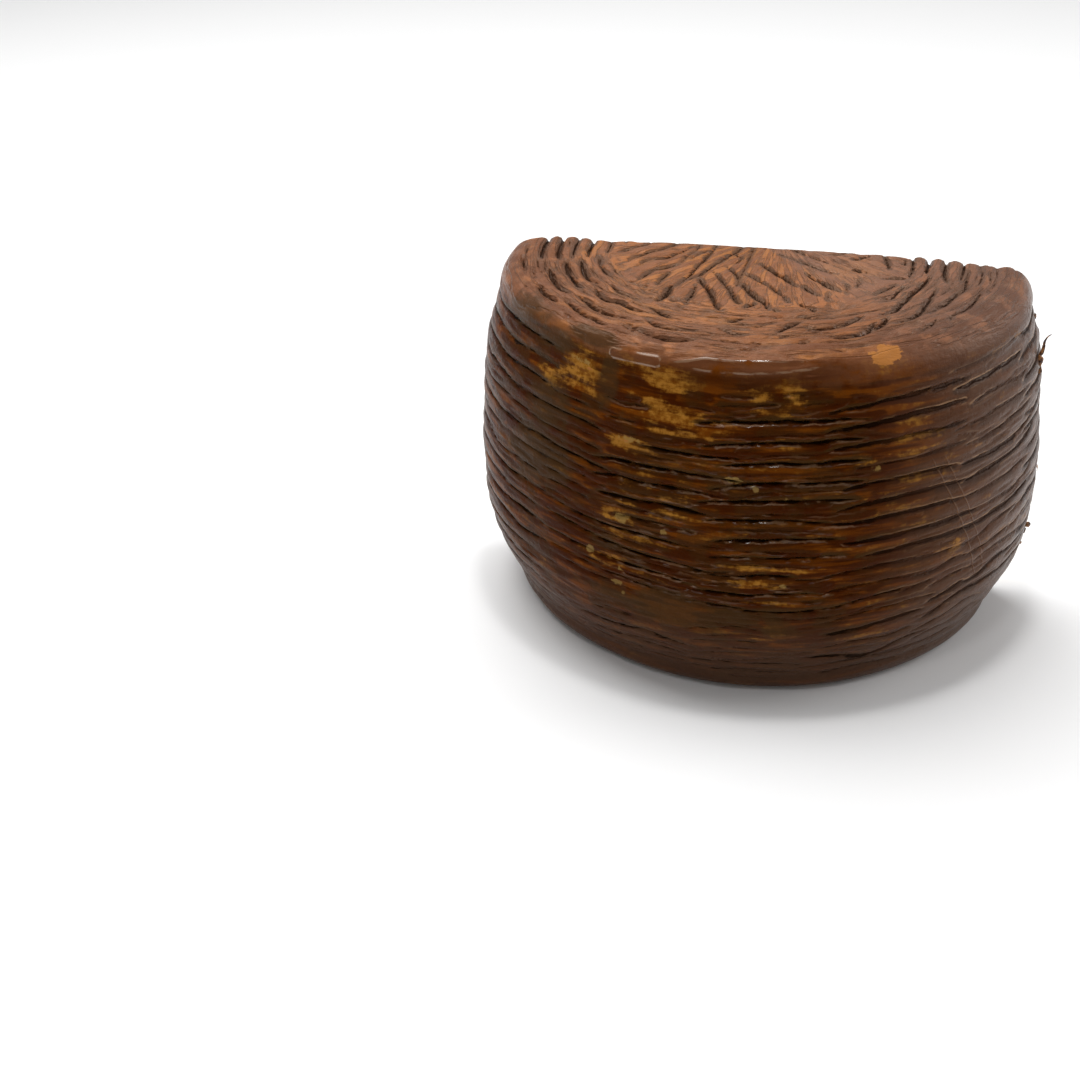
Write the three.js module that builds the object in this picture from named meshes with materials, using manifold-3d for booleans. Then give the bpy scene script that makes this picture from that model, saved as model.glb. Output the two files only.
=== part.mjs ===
// Half a wheel of pecorino, moulded in a wicker basket and cut through the middle.
// Millimetres, +Z up. The round side faces -Y, the cut face faces +Y, the cut runs along X,
// and the origin is the middle of the bounding box's bottom.

import * as THREE from 'three';
import { mergeVertices } from 'three/addons/utils/BufferGeometryUtils.js';
import Module from 'manifold-3d';

// The wheel
const WHEEL_RADIUS = 100;
const WHEEL_HEIGHT = 125;
const TOP_DOME = 1.7;

// The side's bulge: radius over the wheel's radius at fractions of its height, base to top
const BULGE = [
  [0.847, 0.0],
  [0.913, 0.1],
  [0.993, 0.25],
  [1.011, 0.45],
  [1.0, 0.62],
  [0.983, 0.78],
  [0.941, 0.9],
  [0.914, 1.0],
];

// The plan isn't a true circle: cosine and sine terms over the angle from the front
const PLAN_COSINES = [0.0161, 0.0237, -0.0221, 0.0152];
const PLAN_SINES = [0, 0.0027, 0.0096, 0];

// Rounding of the two rims; the top one is sharper at the left of the front
const BASE_RIM = 8.3;
const TOP_RIM = 10.5;
const TOP_RIM_SWAY = 3;
const TOP_RIM_RIPPLE = 2.5;

// Imprint of the basket on the side: rows of gashes between the basket's stakes, which step
// down by a share of their pitch at each stake
const ROW_PITCH = 6.5;
const ROW_HEIGHT = 98;
const ROW_DRIFT = 0.19;
const SIDE_GASH = 1.5;
const STAKE_ANGLE = THREE.MathUtils.degToRad(24);
const FIRST_STAKE = THREE.MathUtils.degToRad(-1);
const STAKE_GROOVE = 0.5;
const SMOOTH_BAND = 9;
const FAINT_FOOT = 40;
const FOOT_STRENGTH = 0.35;

// Imprint on the two ends: rings of gashes outside, bundles of strands inside
const RING_PITCH = 5.7;
const RING_GASH = 1.6;
const RING_BAY = THREE.MathUtils.degToRad(19.5);
const RING_FIRST_EDGE = THREE.MathUtils.degToRad(-72.75);
const RING_RADIUS = 59.8;
const RING_INNER = 53;
const RING_OUTER = 82;
const BASE_RING_OUTER = 72;
const STRAND_PITCH = 9.2;
const STRAND_GROOVE = 1.1;
const LENS_BLUNTNESS = 0.6;
const VALLEY_SHARPNESS = 1.4;
const STAKE_SHARPNESS = 12;
const LEFT_BUNDLE = THREE.MathUtils.degToRad(61);
const RIGHT_BUNDLE = THREE.MathUtils.degToRad(-49);

// Facets: steps round the whole wheel, and steps along its profile
const ROUND_STEPS = 84;
const CUT_OFFSET = 0.5;
const SIDE_STEP = ROW_PITCH / 4;
const RING_STEP = RING_PITCH / 2;
const MIDDLE_STEP = 6.4;
const RIM_STEPS = 3;
const BULGE_SAMPLES = 240;
const MERGE_DISTANCE = 1e-4;

// Holes in the paste on the cut face: place along the cut, height, half width, half height,
// depth and lean in degrees
const EYES = [
  [-48, 82, 2.0, 2.9, 2.8, 12],
  [-52, 88, 2.2, 0.9, 2.0, 25],
  [-41, 106, 3.4, 0.9, 2.0, -6],
  [-32, 93, 2.9, 1.4, 2.4, 0],
  [8, 80, 2.6, 1.5, 2.4, 10],
  [7, 95, 2.8, 0.9, 1.8, -12],
  [22, 88, 5.0, 2.0, 3.0, 4],
  [29, 95, 2.9, 1.9, 2.4, -20],
  [-3, 29, 1.7, 1.0, 1.8, 0],
  [11, 34, 1.8, 1.3, 1.8, 30],
  [28, 33, 1.4, 0.9, 1.6, 0],
  [-2, 41, 1.0, 0.8, 1.4, 0],
  [-16, 35, 1.3, 0.7, 1.4, 15],
  [-75, 87, 1.2, 0.8, 1.4, 0],
  [-64, 89, 1.1, 0.7, 1.4, 0],
  [-58, 86, 1.2, 1.4, 1.5, 40],
];
const EYE_DETAIL = 1;
const KEPT_HALF = 400;

const RIND = new THREE.MeshStandardMaterial({ name: 'rind', color: 0x4a2c17, roughness: 0.5, metalness: 0 });

const { clamp, lerp, smoothstep } = THREE.MathUtils;

/** Fine sampling of the side's bulge, base to top, in millimetres. */
const bulge = new THREE.SplineCurve(
  BULGE.map(([radius, height]) => new THREE.Vector2(radius * WHEEL_RADIUS, height * WHEEL_HEIGHT)),
).getPoints(BULGE_SAMPLES);

/** The side's radius at a height, before the rims are rounded. */
function radiusAt(height) {
  const above = bulge.findIndex((point) => point.y >= height);
  const high = bulge[Math.max(above, 1)];
  const low = bulge[Math.max(above, 1) - 1];
  return lerp(low.x, high.x, clamp((height - low.y) / (high.y - low.y), 0, 1));
}

/** How far the plan departs from a circle at an angle from the front, as a factor. */
function planFactor(angle) {
  let factor = 1;
  PLAN_COSINES.forEach((share, k) => (factor += share * Math.cos((k + 1) * angle)));
  PLAN_SINES.forEach((share, k) => (factor += share * Math.sin((k + 1) * angle)));
  return factor;
}

/** The top rim's rounding at an angle from the front. */
function topRim(angle) {
  return TOP_RIM + TOP_RIM_SWAY * Math.sin(angle) + TOP_RIM_RIPPLE * Math.sin(3 * angle);
}

/** Points from one radius to another, about one step apart, without the last one. */
function flatRun(from, to, step, height) {
  const count = Math.max(1, Math.round(Math.abs(to - from) / step));
  return Array.from({ length: count }, (_, k) => new THREE.Vector2(lerp(from, to, k / count), height));
}

/** A quarter turn round a rim, base side or top side, with both its ends. */
function rimArc(rim, top) {
  const height = top ? WHEEL_HEIGHT - rim : rim;
  const centre = radiusAt(height) - rim;
  const sign = top ? 1 : -1;
  const arc = Array.from({ length: RIM_STEPS + 1 }, (_, k) => {
    const turn = (k / RIM_STEPS) * (Math.PI / 2);
    return new THREE.Vector2(centre + rim * Math.cos(turn), height + sign * rim * Math.sin(turn));
  });
  return top ? arc : arc.reverse();
}

/** The wheel's profile from the base's middle round to the top's, for one top rim radius. */
function profile(rim) {
  const foot = rimArc(BASE_RIM, false);
  const crown = rimArc(rim, true);
  const rows = Math.round((WHEEL_HEIGHT - BASE_RIM - TOP_RIM) / SIDE_STEP);
  const side = Array.from({ length: rows - 1 }, (_, k) => {
    const height = lerp(BASE_RIM, WHEEL_HEIGHT - rim, (k + 1) / rows);
    return new THREE.Vector2(radiusAt(height), height);
  });
  const crownEnd = crown[crown.length - 1].x;
  const topRings = Math.round((RING_OUTER - RING_INNER) / RING_STEP);
  return [
    ...flatRun(0, RING_INNER, MIDDLE_STEP, 0),
    ...flatRun(RING_INNER, BASE_RING_OUTER, RING_STEP, 0),
    ...foot,
    ...side,
    ...crown,
    ...flatRun(crownEnd, RING_INNER, (crownEnd - RING_INNER) / topRings, WHEEL_HEIGHT).slice(1),
    ...flatRun(RING_INNER, 0, MIDDLE_STEP, WHEEL_HEIGHT),
    new THREE.Vector2(0, WHEEL_HEIGHT),
  ];
}

/** Share of the full depth in a lens-shaped gash: along its bay from 0 to 1, across it in pitches. */
function gash(along, across) {
  const lens = Math.pow(Math.max(0, Math.sin(Math.PI * along)), LENS_BLUNTNESS);
  return lens * Math.pow(0.5 + 0.5 * Math.cos(2 * Math.PI * across), VALLEY_SHARPNESS);
}

/** How deep the basket presses into the side, at an angle and a height. */
function sideImprint(angle, height) {
  const bay = (angle - FIRST_STAKE) / STAKE_ANGLE;
  const index = Math.floor(bay);
  const along = bay - index;
  const drift = index * ROW_DRIFT;
  const row = (height - ROW_HEIGHT) / ROW_PITCH;
  const strength = lerp(FOOT_STRENGTH, 1, smoothstep(height, BASE_RIM, FAINT_FOOT));
  const bounds = smoothstep(height, BASE_RIM, BASE_RIM + ROW_PITCH)
    * (1 - smoothstep(height, WHEEL_HEIGHT - SMOOTH_BAND * 2, WHEEL_HEIGHT - SMOOTH_BAND));
  const stake = STAKE_GROOVE * Math.pow(Math.abs(Math.cos(Math.PI * along)), STAKE_SHARPNESS);
  return bounds * strength * (SIDE_GASH * gash(along, row + drift) + stake);
}

/** How deep the basket presses into an end, at a place on it. */
function endImprint(x, y, ringOuter) {
  const radius = Math.hypot(x, y);
  const angle = Math.atan2(x, -y);
  const bay = (angle - RING_FIRST_EDGE) / RING_BAY;
  const index = Math.floor(bay);
  const stagger = index % 2 === 0 ? 0 : 0.5;
  const ringShare = smoothstep(radius, RING_INNER - RING_STEP, RING_INNER)
    * (1 - smoothstep(radius, ringOuter - RING_STEP, ringOuter));
  const rings = RING_GASH * gash(bay - index, (radius - RING_RADIUS) / RING_PITCH + stagger);
  const lean = x < 0 ? LEFT_BUNDLE : RIGHT_BUNDLE;
  const across = (x * Math.sin(lean) - y * Math.cos(lean)) / STRAND_PITCH;
  const strands = STRAND_GROOVE * Math.pow(0.5 + 0.5 * Math.cos(2 * Math.PI * across), VALLEY_SHARPNESS);
  const middleShare = 1 - smoothstep(radius, RING_INNER - RING_PITCH, RING_INNER);
  return ringShare * rings + middleShare * strands;
}

/** The whole wheel as a closed mesh, axis on Z, front at -Y, with the basket's imprint. */
function wheelGeometry() {
  const average = profile(TOP_RIM);
  const turn = (2 * Math.PI) / ROUND_STEPS;
  const wheel = new THREE.LatheGeometry(average, ROUND_STEPS, CUT_OFFSET * turn, 2 * Math.PI);
  wheel.rotateX(Math.PI / 2);
  const place = wheel.getAttribute('position');
  const perStep = average.length;
  for (let step = 0; step <= ROUND_STEPS; step += 1) {
    const angle = (CUT_OFFSET + (step % ROUND_STEPS)) * turn;
    const signed = angle > Math.PI ? angle - 2 * Math.PI : angle;
    const outline = profile(topRim(signed));
    outline.forEach((point, k) => {
      place.setXYZ(step * perStep + k, ...pressed(point, k, outline, signed));
    });
  }
  wheel.deleteAttribute('normal');
  wheel.deleteAttribute('uv');
  return mergeVertices(wheel, MERGE_DISTANCE);
}

/** One point of the profile turned to its angle, pushed in by the imprint and domed. */
function pressed(point, index, outline, angle) {
  const stretched = point.x * planFactor(angle);
  const onSide = point.y > BASE_RIM && point.y < WHEEL_HEIGHT - SMOOTH_BAND;
  const radius = onSide ? stretched - sideImprint(angle, point.y) : stretched;
  const x = radius * Math.sin(angle);
  const y = -radius * Math.cos(angle);
  if (point.y === 0) {
    return [x, y, endImprint(x, y, BASE_RING_OUTER)];
  }
  const dome = TOP_DOME * Math.max(0, 1 - (radius / RING_OUTER) ** 2) * (point.y > WHEEL_HEIGHT / 2 ? 1 : 0);
  const onTop = point.y === WHEEL_HEIGHT ? endImprint(x, y, RING_OUTER) : 0;
  return [x, y, point.y + dome - onTop];
}

/** A closed geometry as a solid that can be cut. */
function solid(wasm, geometry) {
  const merged = geometry.index ? geometry : mergeVertices(geometry, MERGE_DISTANCE);
  return new wasm.Manifold(new wasm.Mesh({
    numProp: 3,
    vertProperties: new Float32Array(merged.getAttribute('position').array),
    triVerts: new Uint32Array(merged.index.array),
  }));
}

/** A solid's surface as a three.js geometry. */
function surface(cut) {
  const mesh = cut.getMesh();
  const geometry = new THREE.BufferGeometry();
  geometry.setAttribute('position', new THREE.BufferAttribute(mesh.vertProperties, 3));
  geometry.setIndex(new THREE.BufferAttribute(mesh.triVerts, 1));
  return geometry;
}

/** Everything in front of the cut. */
function keptHalf() {
  const box = new THREE.BoxGeometry(KEPT_HALF, KEPT_HALF, KEPT_HALF);
  box.deleteAttribute('normal');
  box.deleteAttribute('uv');
  return mergeVertices(box.translate(0, -KEPT_HALF / 2, 0), MERGE_DISTANCE);
}

/** One hole of the paste, sunk into the cut face. */
function eyeGeometry([x, height, halfWidth, halfHeight, depth, lean]) {
  const eye = new THREE.IcosahedronGeometry(1, EYE_DETAIL);
  eye.deleteAttribute('normal');
  eye.deleteAttribute('uv');
  eye.scale(halfWidth, depth, halfHeight);
  eye.rotateY(THREE.MathUtils.degToRad(lean));
  eye.translate(x, 0, height);
  return mergeVertices(eye, MERGE_DISTANCE);
}

/** The half wheel: cut, with its eyes, and stood on the frame's origin. */
async function halfWheel() {
  const wasm = await Module();
  wasm.setup();
  let half = solid(wasm, wheelGeometry()).intersect(solid(wasm, keptHalf()));
  for (const eye of EYES) {
    half = half.subtract(solid(wasm, eyeGeometry(eye)));
  }
  const geometry = surface(half);
  geometry.computeBoundingBox();
  const { min, max } = geometry.boundingBox;
  geometry.translate(-(min.x + max.x) / 2, -(min.y + max.y) / 2, -min.z);
  geometry.computeVertexNormals();
  const mesh = new THREE.Mesh(geometry, RIND);
  mesh.name = 'half_wheel';
  return mesh;
}

const pecorino = new THREE.Group();
pecorino.add(await halfWheel());

export default pecorino;
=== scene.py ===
"""Half a wheel of basket-moulded pecorino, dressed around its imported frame.

The wheel's axis stands upright in the middle of the cut. The round side faces -Y, the cut face
faces +Y and the cut runs along X. Sizes are in metres, written as millimetres times MM.
"""

from __future__ import annotations

import logging
import math
from dataclasses import dataclass, replace
from enum import Enum, IntEnum
from typing import NamedTuple

import bmesh
import bpy
import numpy as np
from mathutils import Matrix, Vector, noise

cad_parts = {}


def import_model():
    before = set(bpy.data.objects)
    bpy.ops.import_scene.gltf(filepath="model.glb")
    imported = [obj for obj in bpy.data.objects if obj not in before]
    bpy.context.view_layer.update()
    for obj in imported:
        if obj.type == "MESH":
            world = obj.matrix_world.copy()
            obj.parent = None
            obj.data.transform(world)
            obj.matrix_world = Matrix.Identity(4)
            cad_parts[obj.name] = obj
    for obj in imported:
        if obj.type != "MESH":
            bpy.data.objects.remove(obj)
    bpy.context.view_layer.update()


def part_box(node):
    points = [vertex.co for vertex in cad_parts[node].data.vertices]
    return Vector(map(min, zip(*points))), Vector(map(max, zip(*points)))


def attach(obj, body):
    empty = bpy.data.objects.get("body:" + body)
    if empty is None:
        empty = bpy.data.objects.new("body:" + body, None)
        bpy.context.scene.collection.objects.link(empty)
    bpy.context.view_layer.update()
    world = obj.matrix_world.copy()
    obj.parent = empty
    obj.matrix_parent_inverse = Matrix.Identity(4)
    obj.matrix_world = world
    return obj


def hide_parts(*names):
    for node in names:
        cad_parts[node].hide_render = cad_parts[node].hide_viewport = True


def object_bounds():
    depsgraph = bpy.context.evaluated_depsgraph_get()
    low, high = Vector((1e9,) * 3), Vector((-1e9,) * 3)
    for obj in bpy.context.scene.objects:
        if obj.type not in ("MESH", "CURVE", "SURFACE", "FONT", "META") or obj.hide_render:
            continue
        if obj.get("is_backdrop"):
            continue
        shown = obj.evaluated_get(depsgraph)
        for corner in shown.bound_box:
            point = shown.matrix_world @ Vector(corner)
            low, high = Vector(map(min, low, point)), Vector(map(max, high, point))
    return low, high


LOG = logging.getLogger("pecorino")
MM = 0.001
NODE = "half_wheel"
BODY = "root"
TINY = 1e-6
NOISE_MIDDLE = 0.5

# Short names for the types that come up again and again
Array = np.ndarray
BMesh = bmesh.types.BMesh
Object = bpy.types.Object
Material = bpy.types.Material
Tree = bpy.types.NodeTree
Span = tuple[float, float]
Triple = tuple[float, float, float]


class Mask(Enum):
    """Values kept at each vertex for the finishes to read."""

    GAP = "groove_gap"
    FIRM = "firmness"
    BELOW = "below_share"
    RIM = "rim_share"
    LEDGE = "under_ledge"
    LINE = "rim_line_gap"
    BLISTER = "blister_gap"
    RING = "ring_share"
    SEAM = "seam_distance"
    OLIVE = "olive_shade"
    AMBER = "amber"
    PALE = "pale"
    RIGHT = "right_share"
    # Where the rind shines: the coat's gloss, and on the side also the painted glints under the grooves
    WET = "wet"
    FACING = "end_share"
    SKIN = "skin_depth"
    TORN = "torn"


def smooth(value: Array, low: float, high: float) -> Array:
    """Ease from 0 to 1 between two values.

    Args:
        value: The values to ease.
        low: Where the ease starts.
        high: Where it ends.

    Returns:
        The eased share, between 0 and 1.
    """
    share = np.clip((np.asarray(value, float) - low) / (high - low), 0.0, 1.0)
    return share * share * (3.0 - 2.0 * share)


@dataclass(frozen=True)
class Grain:
    """Smooth seeded noise over two coordinates, between -1 and 1."""

    seed: int
    along: float
    across: float
    cells: int = 256

    def at(self, along: Array, across: Array) -> Array:
        """Read the noise.

        Args:
            along: First coordinate, in metres.
            across: Second coordinate, in metres.

        Returns:
            The noise at each place.
        """
        table = np.random.default_rng(self.seed).uniform(-1.0, 1.0, (self.cells, self.cells))
        u = np.asarray(along, float) / self.along
        v = np.asarray(across, float) / self.across
        i = np.floor(u).astype(int)
        j = np.floor(v).astype(int)
        fu = smooth(u - i, 0.0, 1.0)
        fv = smooth(v - j, 0.0, 1.0)
        i0, i1 = i % self.cells, (i + 1) % self.cells
        j0, j1 = j % self.cells, (j + 1) % self.cells
        low = table[i0, j0] * (1.0 - fu) + table[i1, j0] * fu
        high = table[i0, j1] * (1.0 - fu) + table[i1, j1] * fu
        return low * (1.0 - fv) + high * fv


def low_relief(seed: int, relief: tuple[float, ...], x: Array, y: Array, lift: float = 0.0) -> Array:
    """Raise smooth seeded lumps.

    Args:
        seed: The lumps' seed.
        relief: Their height, and their cells along and across.
        x: First coordinate of each vertex.
        y: Its second coordinate.
        lift: How far the whole is lifted, as a share of the height.

    Returns:
        How high each vertex stands.
    """
    height, along, across = relief
    return height * (lift + Grain(seed, along, across).at(x, y))


def curve_through(points: Array, steps: int) -> Array:
    """Run a smooth curve through points.

    Args:
        points: The points, one row each.
        steps: How many steps the whole curve takes.

    Returns:
        Rows of places along the curve.
    """
    last = len(points) - 1
    along = np.linspace(0.0, last, steps + 1)
    start = np.minimum(along.astype(int), last - 1)
    t = (along - start)[:, None]
    p0 = points[np.maximum(start - 1, 0)]
    p1 = points[start]
    p2 = points[start + 1]
    p3 = points[np.minimum(start + 2, last)]
    v0 = (p2 - p0) / 2.0
    v1 = (p3 - p1) / 2.0
    return (2 * p1 - 2 * p2 + v0 + v1) * t**3 + (-3 * p1 + 3 * p2 - 2 * v0 - v1) * t**2 + v0 * t + p1


class Part(IntEnum):
    """Where each part of the profile starts, counted in stations from the base's middle."""

    BASE = 0
    BASE_RIM = 1
    SIDE = 2
    TOP_RIM = 3
    TOP = 4
    END = 5


@dataclass(frozen=True)
class WheelForm:
    """The smooth wheel: its bulging profile, its uneven plan and its two rims."""

    radius: float = 100 * MM
    height: float = 125 * MM
    dome: float = 1.7 * MM
    bulge: tuple[Span, ...] = (
        (0.847, 0.0), (0.913, 0.1), (0.993, 0.25), (1.011, 0.45), (1.0, 0.62), (0.983, 0.78), (0.941, 0.9),
        (0.914, 1.0),
    )
    plan_cosines: tuple[float, ...] = (0.0161, 0.0237, -0.0221, 0.0152)
    plan_sines: tuple[float, ...] = (0.0, 0.0027, 0.0096, 0.0)
    base_rim: float = 8.3 * MM
    top_rim: float = 10.5 * MM
    rim_sway: float = 3.0 * MM
    rim_ripple: float = 2.5 * MM
    samples: int = 240
    base_rings: int = 36
    base_arc: int = 10
    side_rows: int = 180
    top_arc: int = 26
    top_rings: int = 156
    round_steps: int = 204
    reach_angles: Triple = (45.0, 90.5, 0.5)
    search_steps: int = 1501
    search_chunk: int = 4000

    def bulge_curve(self) -> Array:
        """Sample the side's bulge, in rows of radius and height from base to top."""
        return curve_through(np.array(self.bulge) * (self.radius, self.height), self.samples)

    def radius_at(self, height: Array) -> Array:
        """The side's radius at each height, before the rims are rounded."""
        curve = self.bulge_curve()
        return np.interp(height, curve[:, 1], curve[:, 0])

    def plan_factor(self, angle: Array) -> Array:
        """Tell how far the plan departs from a circle.

        Args:
            angle: Angles from the front.

        Returns:
            The radius at each angle, as a factor.
        """
        factor = np.ones_like(np.asarray(angle, float))
        for k, (cosine, sine) in enumerate(zip(self.plan_cosines, self.plan_sines), start=1):
            factor += cosine * np.cos(k * angle) + sine * np.sin(k * angle)
        return factor

    def rim_at(self, angle: Array) -> Array:
        """The top rim's rounding at each angle from the front."""
        return self.top_rim + self.rim_sway * np.sin(angle) + self.rim_ripple * np.sin(3 * angle)

    def place(self, station: Array, rim: Array) -> tuple[Array, ...]:
        """Find points of the profile and the way that its surface faces there.

        Args:
            station: Each point's station, counted as in Part.
            rim: The top rim's rounding for each point.

        Returns:
            Radius, height, and the outward direction's radius and height shares.
        """
        station = np.asarray(station, float)
        rim = np.broadcast_to(np.asarray(rim, float), station.shape)
        foot = self.radius_at(np.full_like(station, self.base_rim)) - self.base_rim
        crown = self.radius_at(self.height - rim) - rim
        radius = foot * np.clip(station, 0.0, 1.0)
        height = np.zeros_like(station)
        out = np.zeros_like(station)
        up = -np.ones_like(station)

        arc = (station > Part.BASE_RIM) & (station <= Part.SIDE)
        turn = (station[arc] - Part.BASE_RIM) * math.pi / 2
        radius[arc] = foot[arc] + self.base_rim * np.sin(turn)
        height[arc] = self.base_rim * (1.0 - np.cos(turn))
        out[arc], up[arc] = np.sin(turn), -np.cos(turn)

        side = (station > Part.SIDE) & (station < Part.TOP_RIM)
        straight = self.height - rim[side] - self.base_rim
        height[side] = self.base_rim + (station[side] - Part.SIDE) * straight
        radius[side] = self.radius_at(height[side])
        out[side], up[side] = 1.0, 0.0

        arc = (station >= Part.TOP_RIM) & (station < Part.TOP)
        turn = (station[arc] - Part.TOP_RIM) * math.pi / 2
        radius[arc] = crown[arc] + rim[arc] * np.cos(turn)
        height[arc] = self.height - rim[arc] * (1.0 - np.sin(turn))
        out[arc], up[arc] = np.cos(turn), np.sin(turn)

        top = station >= Part.TOP
        radius[top] = crown[top] * (Part.END - station[top])
        height[top] = self.height
        out[top], up[top] = 0.0, 1.0
        return radius, height, out, up

    def stations(self) -> Array:
        """List the profile's steps.

        Returns:
            The stations, from the base's middle round to the top's.
        """
        counts = (self.base_rings, self.base_arc, self.side_rows, self.top_arc, self.top_rings)
        runs = [k + np.arange(count) / count for k, count in enumerate(counts)]
        return np.append(np.concatenate(runs), float(len(counts)))

    def nearest(self, radius: Array, height: Array) -> tuple[Array, Array]:
        """Find where points in the profile's plane lie under the skin.

        Args:
            radius: Distance of each point from the axis.
            height: Height of each point.

        Returns:
            The nearest station, and the depth below the skin there.
        """
        fine = np.linspace(Part.BASE, Part.END, self.search_steps)
        ring, level, _, _ = self.place(fine, np.full_like(fine, self.top_rim))
        curve = np.stack([ring, level], axis=1)
        run = np.diff(curve, axis=0)
        place = np.stack([radius, height], axis=1)
        station = np.zeros_like(radius)
        depth = np.full_like(radius, np.inf)
        for start in range(0, len(radius), self.search_chunk):
            part = np.arange(start, min(start + self.search_chunk, len(radius)))
            gap = np.hypot(radius[part, None] - ring, height[part, None] - level)
            best = gap.argmin(axis=1)
            for first in (np.maximum(best - 1, 0), np.minimum(best, len(run) - 1)):
                share = ((place[part] - curve[first]) * run[first]).sum(axis=1)
                share = np.clip(share / (run[first] ** 2).sum(axis=1), 0.0, 1.0)
                off = np.linalg.norm(place[part] - curve[first] - share[:, None] * run[first], axis=1)
                nearer = off < depth[part]
                depth[part[nearer]] = off[nearer]
                station[part[nearer]] = (fine[first] + share * fine[1])[nearer]
        return station, depth

    def reach(self, side: int) -> float:
        """Tell how far the wheel reaches from its axis along X.

        Args:
            side: 1 for the right, -1 for the left.

        Returns:
            The distance.
        """
        angle = side * np.radians(np.arange(*self.reach_angles))
        widest = self.bulge_curve()[:, 0].max()
        return float((widest * self.plan_factor(angle) * np.abs(np.sin(angle))).max())


class Press(Enum):
    """How hard a strand pressed: the half width and the depth of its line, in millimetres."""

    CLEFT = (1.3, 1.9)
    DEEP = (1.05, 1.6)
    FIRM = (0.85, 1.15)
    LIGHT = (0.65, 0.75)
    FINE = (0.5, 0.4)
    BROAD = (2.2, 0.7)


Line = tuple[float, ...]

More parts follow.
